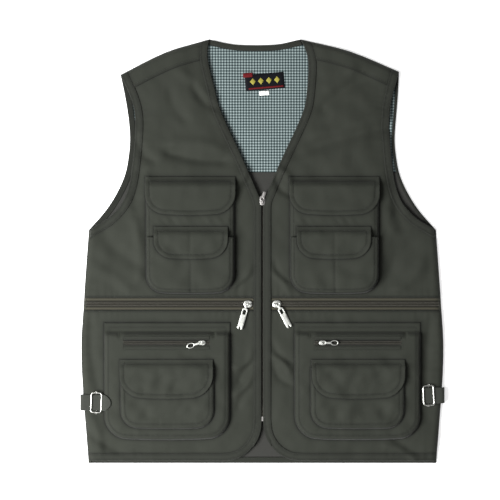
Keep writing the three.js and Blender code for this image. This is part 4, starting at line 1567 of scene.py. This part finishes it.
# ---------------------------------------------------------------- zips
# The front zip lies under the bands. The waist zips are sewn in flat and show an olive tape on
# each side of their nylon coil. The pocket zips show their coil between two folded welts.
tape_olive = (0.051, 0.0485, 0.034)
tape_green = (0.030, 0.032, 0.025)
coil_olive = (0.066, 0.063, 0.053)
zip_tape = cloth_look("zip_tape", tape_olive, ridges=600.0, bump=0.2, fade=0.15)
pocket_tape = cloth_look("pocket_tape", tape_green, ridges=600.0, bump=0.2, fade=0.15)
zip_coil = plain_look("zip_coil", coil_olive, 0.42, scale=1400.0, bump=0.2)
coil_pitch = 1.35


def coil_ribs(along0, along1, reach0, reach1, flip, place, top_at):
    """The nylon loops of one half of a coil, each a small rounded bar across the tape's edge."""
    points, faces = [], []
    for mark in np.arange(along0 + 0.8, along1 - 0.6, coil_pitch):
        mark += 0.34 * flip
        first = len(points)
        for reach, high in ((reach0, 0.15), (reach0 + 0.5, 0.62), (reach1 - 0.5, 0.55), (reach1, 0.1)):
            spot = place(mark, flip * reach)
            z = float(top_at(np.array([spot]))[0])
            for shift, rise in ((-0.46, 0.0), (-0.26, high), (0.26, high), (0.46, 0.0)):
                x, y = place(mark + shift, flip * reach)
                points.append((x, y, z + rise))
        for k in range(3):
            for i in range(4):
                j = (i + 1) % 4
                a = first + 4 * k
                faces.append((a + i, a + j, a + 4 + j, a + 4 + i))
        faces.append((first + 3, first + 2, first + 1, first))
        faces.append((first + 12, first + 13, first + 14, first + 15))
    return points, faces


def zip_half(node, along0, along1, reach, coil, flip, place, top_at, sink):
    """One half of a zip: a tape with a shallow groove beside its coil, darkened with painted shade,
    and the coil's loops.
    """
    corners = [(along0, 0.4), (along1, 0.4), (along1, reach), (along0, reach)]
    loop = anticlockwise(np.array([place(a, flip * r) for a, r in corners]))
    loop = softened(loop, 4.0, passes=0)
    groove = np.array([place(a, flip * (coil + 0.8)) for a in (along0 + 0.9, along1 - 0.9)])
    grid = woven_grid(loop, 4.0, rails=(0.35,), lines=[even_steps(groove, 4.0)])
    points = grid[0]
    from_groove = nearest(points, groove)[0]
    base = even_steps(np.array([place(along0, 0), place(along1, 0)]), 5.0)
    across = nearest(points, base)[0]
    top = top_at(points) - sink - 0.25 * np.exp(-(from_groove**2))
    # Painted shade: darker in the groove, at the tape's outer edge and under the coil.
    shade = np.exp(-(from_groove**2) / 0.4) + 0.75 * (across > reach - 0.2)
    shade += 0.5 * (across < coil)
    tape_look = pocket_tape if "pocket" in node else zip_tape
    tape = sewn(f"{node}_tape", grid, top, top - 0.9, [tape_look, zip_coil], shade)
    ribs, sides = coil_ribs(
        along0, along1, 0.45, coil, flip, place, lambda spots: top_at(spots) - sink
    )
    mesh = tape.data
    old_points = [tuple(v.co) for v in mesh.vertices]
    old_faces = [tuple(f.vertices) for f in mesh.polygons]
    shades = [v.value for v in mesh.attributes["shade"].data] + [0.0] * len(ribs)
    shift = len(old_points)
    if place(0, 1)[0] * flip > 0.5 or place(0, 1)[1] * flip < -0.5:
        sides = [face[::-1] for face in sides]
    fresh = bpy.data.meshes.new(f"{node}_tape")
    more = [tuple(MM * c for c in point) for point in ribs]
    fresh.from_pydata(
        old_points + more, [], old_faces + [tuple(i + shift for i in face) for face in sides]
    )
    fresh.polygons.foreach_set("use_smooth", [True] * len(fresh.polygons))
    kinds = [0] * len(old_faces) + [1] * len(sides)
    fresh.polygons.foreach_set("material_index", kinds)
    fresh.attributes.new("shade", "FLOAT", "POINT").data.foreach_set("value", shades)
    for look in (tape_look, zip_coil):
        fresh.materials.append(look)
    tape.data = fresh
    bpy.data.meshes.remove(mesh)
    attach(tape, "vest")
    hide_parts(node)


front_zip_low = 1000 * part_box("front_zip_left_half")[0].y
front_zip_high = 1000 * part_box("front_zip_left_half")[1].y
front_tape_top = 9.1
for node, flip in (("front_zip_left_half", 1), ("front_zip_right_half", -1)):
    zip_half(
        node,
        front_zip_low,
        front_zip_high,
        11.5,
        2.9,
        flip,
        lambda along, across: (across, along),
        lambda points: np.full(len(points), front_tape_top),
        0.0,
    )
for side, sign in (("left", 1), ("right", -1)):
    for half, flip in (("upper", 1), ("lower", -1)):
        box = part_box(f"left_waist_zip_{half}")
        zip_half(
            f"{side}_waist_zip_{half}",
            1000 * box[0].x,
            1000 * box[1].x - 0.4,
            8.9,
            3.2,
            flip,
            lambda along, across: (sign * along, waist_middle + across),
            front_height,
            0.85,
        )
        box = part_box(f"left_pocket_zip_{half}")
        zip_half(
            f"{side}_pocket_zip_{half}",
            1000 * box[0].x + 0.4,
            1000 * box[1].x - 0.4,
            9.3,
            2.6,
            flip,
            lambda along, across: (sign * along, pocket_zip_y + across),
            lambda points: np.full(len(points), pocket_zip_top - 1.0),
            0.0,
        )
    # Two folded welts of pocket cloth close the opening down to the coil.
    for half, flip in (("upper", 1), ("lower", -1)):
        near, far = pocket_zip_y + flip * 4.9, pocket_zip_y + flip * 10.6
        x0, x1 = sign * (pocket_zip_x[0] + 1.4), sign * (pocket_zip_x[1] - 1.4)
        loop = anticlockwise(np.array([(x0, near), (x1, near), (x1, far), (x0, far)]))
        loop = softened(loop, 3.0, passes=0)
        grid = woven_grid(loop, 3.0, rails=(0.4, 1.0, 1.8))
        gap = nearest(grid[0], loop, closed=True)[0]
        inner = np.abs(grid[0][:, 1] - near)
        top = pocket_zip_top + 0.1 - fold_down(gap, 1.3, 0.9) + drape(grid[0], 83, 25, 0.12)
        # Painted shade: darker at the edges and along the stitch row.
        welt = sewn(
            f"{side}_pocket_zip_{half}_welt",
            grid,
            top,
            np.full(len(gap), pocket_zip_top - 0.8),
            [shell_cloth, shell_thread],
            0.6 * np.exp(-gap / 0.8) + 0.3 * np.exp(-((inner - 2.2) ** 2)),
            [even_steps(np.array([(x0, near + flip * 2.2), (x1, near + flip * 2.2)]), 3.0)],
        )
        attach(welt, "vest")

# ---------------------------------------------------------------- sliders and pulls
# The waist and pocket zips have sliders of bright plated alloy, with long windowed tabs on the
# waist and rings on the pockets. The front zip's slider, short tab and box are of a duller one.
zip_metal = plain_look("zip_metal", (0.62, 0.63, 0.59), 0.3, metal=1.0, bump=0.08, scale=700.0)


def loft(rings, closed=False):
    """The faces that join rings of equal length, with capped ends unless it closes on itself."""
    count = len(rings[0])
    faces = []
    last = len(rings) if closed else len(rings) - 1
    for k in range(last):
        a, b = k * count, (k + 1) % len(rings) * count
        for i in range(count):
            j = (i + 1) % count
            faces.append((a + i, a + j, b + j, b + i))
    if not closed:
        faces.append(tuple(range(count))[::-1])
        faces.append(tuple(range((len(rings) - 1) * count, len(rings) * count)))
    return faces


def lofted(name, rings, look, closed=False):
    """A piece whose surface joins rings of points given in mm."""
    mesh = bpy.data.meshes.new(name)
    points = [tuple(MM * c for c in point) for ring in rings for point in ring]
    mesh.from_pydata(points, [], loft(rings, closed))
    mesh.polygons.foreach_set("use_smooth", [True] * len(mesh.polygons))
    mesh.attributes.new("shade", "FLOAT", "POINT")
    mesh.validate()
    piece = bpy.data.objects.new(name, mesh)
    bpy.context.scene.collection.objects.link(piece)
    mesh.materials.append(look)
    return piece


def wire_rings(path, radius, closed, sides=10):
    """Round cross-sections along a path of points in space."""
    path = np.array(path, float)
    if closed:
        tangent = np.roll(path, -1, axis=0) - np.roll(path, 1, axis=0)
    else:
        tangent = np.gradient(path, axis=0)
    tangent /= np.linalg.norm(tangent, axis=1)[:, None]
    rings = []
    for spot, ahead in zip(path, tangent):
        up = np.array([0.0, 0.0, 1.0]) if abs(ahead[2]) < 0.9 else np.array([0.0, 1.0, 0.0])
        beside = np.cross(up, ahead)
        beside /= np.linalg.norm(beside)
        above = np.cross(ahead, beside)
        ring = []
        for k in range(sides):
            angle = math.tau * k / sides
            ring.append(spot + radius * (math.cos(angle) * beside + math.sin(angle) * above))
        rings.append(ring)
    return rings


def stamped(name, loop, holes, low, high, bevel, look, body, node=None):
    """A flat metal piece with softly rounded edges, cast between two heights."""
    loop = softened(loop, 0.8, passes=1, sharp=40)
    holes = [softened(hole, 0.8, passes=1, sharp=40) for hole in holes]
    grid = woven_grid(loop, 2.0, rails=(bevel * 0.3, bevel), holes=holes)
    gap = nearest(grid[0], loop, closed=True)[0]
    for hole in holes:
        gap = np.minimum(gap, nearest(grid[0], hole, closed=True)[0])
    top = high - fold_down(gap, bevel, bevel * 0.8)
    piece = sewn(name, grid, top, low + fold_down(gap, bevel, bevel * 0.8), [look])
    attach(piece, body)
    if node:
        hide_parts(node)


def slider_body(node, post, ahead, back, front, width, plate, bridge, reach, look):
    """A slider: a rounded plate on a wedge, and a bridge that holds the pull's eye."""
    ahead = np.array(ahead, float)
    beside = np.array([-ahead[1], ahead[0]])
    post = np.array(post, float)
    middle, half = (front - back) / 2, (front + back) / 2
    loop = []
    for k in range(36):
        angle = math.tau * k / 36
        c, s = math.cos(angle), math.sin(angle)
        u = middle + half * math.copysign(abs(c) ** 0.8, c)
        v = width / 2 * math.copysign(abs(s) ** 0.75, s)
        loop.append(post + ahead * u + beside * v)
    loop = anticlockwise(np.array(loop))
    low, high = plate
    stamped(f"{node}_plate", loop, [], low, high, 0.5, look, node, node)
    wedge = inset(loop, width * 0.43)
    stamped(f"{node}_wedge", wedge, [], low - 2.6, low + 0.2, 0.2, look, node)
    rise = bridge - 1.0
    arch = [(-reach, high - 0.3), (-reach, high + 1.2), (-reach + 0.5, rise - 0.4)]
    arch += [(-reach + 1.4, rise), (-1.2, rise), (-0.2, rise - 0.5), (0.2, high + 1.2), (0.1, high)]
    path = [(*(post + ahead * u), z) for u, z in arch]
    fine = []
    for a, b in zip(path, path[1:]):
        for share in (0, 0.34, 0.67):
            fine.append(tuple(p + (q - p) * share for p, q in zip(a, b)))
    fine.append(path[-1])
    rings = wire_rings(fine, 0.72, False, 8)
    centre = np.array([np.mean(ring, axis=0) for ring in rings])
    rings = [
        [c + (p - c) * (1 + 0.5 * abs(np.dot((p - c)[:2] / 0.72, beside))) for p in ring]
        for ring, c in zip(rings, centre)
    ]
    arch_piece = lofted(f"{node}_bridge", rings, look)
    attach(arch_piece, node)


dull_metal = plain_look("dull_metal", (0.30, 0.29, 0.28), 0.42, metal=1.0, bump=0.08)
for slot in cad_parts["front_zip_box"].material_slots:
    slot.material = dull_metal
slider_body(
    "front_zip_slider", (0, 83), (0, 1), 9.8, 6.2, 9.0, (12.3, 13.5), 17.1, 7.0, dull_metal
)
pull_nodes = ["front_zip_pull"]
for side, sign in (("left", 1), ("right", -1)):
    slider_body(
        f"{side}_waist_zip_slider",
        (sign * 24.9, waist_middle),
        (sign, 0),
        8.7,
        5.1,
        11.9,
        (11.9, 13.1),
        16.7,
        7.0,
        zip_metal,
    )
    slider_body(
        f"{side}_pocket_zip_slider",
        (sign * 98.0, pocket_zip_y),
        (sign, 0),
        7.8,
        4.2,
        8.0,
        (23.5, 24.7),
        28.3,
        5.6,
        zip_metal,
    )
    pull_nodes += [f"{side}_waist_zip_pull", f"{side}_pocket_zip_pull"]
for node in pull_nodes:
    low, high = (1000 * corner.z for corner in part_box(node))
    loops = outlines(node, high)
    look = dull_metal if node == "front_zip_pull" else zip_metal
    stamped(f"{node}_tab", loops[0], loops[1:], low, high, 0.4, look, node, node)

# ---------------------------------------------------------------- side adjusters
# A flat woven strap is sewn into each side seam, comes round to the front and runs through a
# plated wire buckle, which a short tab holds. The buckle's bar lies under the strap.
buckle_metal = plain_look("buckle_metal", (0.66, 0.66, 0.62), 0.26, metal=1.0, bump=0.05, scale=500.0)
webbing_green = (0.0265, 0.0287, 0.0240)
webbing = cloth_look("webbing", webbing_green, ridges=330.0, bump=0.35)
wire_level = 16.9


def strap_rings(path, half_width, thickness, tip, middle):
    """Flat cross-sections with rounded edges along a path seen from the end of the strap."""
    path = np.array(path, float)
    tangent = np.gradient(path, axis=0)
    tangent /= np.linalg.norm(tangent, axis=1)[:, None]
    length = np.linalg.norm(np.diff(path, axis=0), axis=1)
    along = np.concatenate([[0], np.cumsum(length)])
    left = along[-1] - along
    rings = []
    for (x, z), (dx, dz), rest in zip(path, tangent, left):
        wide = half_width * math.sqrt(max(0.04, min(1.0, rest / tip)))
        ring = []
        for across, high in (
            (-1, 0.0), (-0.96, 0.5), (-0.8, 0.56), (-0.4, 0.5), (0, 0.5), (0.4, 0.5),
            (0.8, 0.56), (0.96, 0.5), (1, 0.0), (0.96, -0.5), (0.4, -0.5), (-0.4, -0.5), (-0.96, -0.5),
        ):
            rise = high * thickness
            ring.append((x - dz * rise, middle + across * wide, z + dx * rise))
        rings.append(ring)
    return rings


for side, sign in (("left", 1), ("right", -1)):
    strap_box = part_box(f"{side}_side_strap")
    middle = 500 * (strap_box[0].y + strap_box[1].y)
    tip_x = 255.0 if side == "left" else 240.5
    path = []
    for z in np.arange(2.2, 9.0, 1.3):
        path.append((291.0, z))
    for k in range(0, 7):
        angle = math.radians(15 * k)
        path.append((285.6 + 5.4 * math.cos(angle), 9.3 + 5.4 * math.sin(angle)))
    for x in np.arange(283.5, tip_x - 0.1, -1.5):
        over = float(lower_height(np.array([[sign * (x - 3.0), middle]]))[0]) + 1.4
        path.append((x, 14.7 if x > 257 else max(14.7, over)))
    for _ in range(4):
        heights = [z for _, z in path]
        for i in range(14, len(path) - 1):
            path[i] = (path[i][0], (heights[i - 1] + 2 * heights[i] + heights[i + 1]) / 4)
    path = [(sign * x, z) for x, z in path]
    rings = strap_rings(path, 12.8, 1.3 * -sign, 9.0 if side == "right" else 3.0, middle)
    if sign < 0:
        rings = [ring[::-1] for ring in rings]
    strap = lofted(f"{side}_side_strap_cloth", rings, webbing)
    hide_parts(f"{side}_side_strap")
    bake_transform(strap)

    buckle_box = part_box(f"{side}_buckle")
    centre = np.array([500 * (buckle_box[0].x + buckle_box[1].x), middle])
    ring_path = []
    turn = 2.5 if side == "right" else -3.0
    outline_of_ring = turned_shape(oblong(16.4, 31.2, corner=3.6), centre, -turn)
    closed_ring = np.vstack([outline_of_ring, outline_of_ring[:1]])
    for x, y in even_steps(closed_ring, 0.9)[:-1]:
        ring_path.append((x, y, wire_level))
    wire = lofted(f"{side}_buckle_wire", wire_rings(ring_path, 1.25, True), buckle_metal, True)
    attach(wire, "vest")
    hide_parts(f"{side}_buckle")
    bar = [(centre[0], y, 12.8) for y in np.linspace(middle - 13.5, middle + 13.5, 12)]
    bar = [(centre[0], middle - 15.6, 15.6), (centre[0], middle - 14.9, 13.6)] + bar
    bar += [(centre[0], middle + 14.9, 13.6), (centre[0], middle + 15.6, 15.6)]
    bar_piece = lofted(f"{side}_buckle_bar", wire_rings(bar, 0.9, False), buckle_metal)
    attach(bar_piece, "vest")
    for end in (-1, 1):
        nub = []
        for k in range(7):
            angle = math.pi * k / 6
            x = centre[0] + 1.6 * math.cos(angle)
            y = middle + end * (16.0 + 1.5 * math.sin(angle))
            nub.append((x, y, wire_level))
        nub_piece = lofted(
            f"{side}_buckle_nub_{'upper' if end > 0 else 'lower'}",
            wire_rings(nub, 0.75, False, 8),
            buckle_metal,
        )
        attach(nub_piece, "vest")

    tab_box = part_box(f"{side}_anchor_tab")
    x0 = 1000 * min(abs(tab_box[0].x), abs(tab_box[1].x)) - 1.5
    x1 = 1000 * max(abs(tab_box[0].x), abs(tab_box[1].x))
    tab_path = [(sign * x, 12.6) for x in np.linspace(x1, x0, 8)]
    rings = strap_rings(tab_path, 12.0, 1.5 * -sign, 2.0, middle)
    if sign < 0:
        rings = [ring[::-1] for ring in rings]
    tab = lofted(f"{side}_anchor_tab_cloth", rings, webbing)
    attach(tab, "vest")
    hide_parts(f"{side}_anchor_tab")
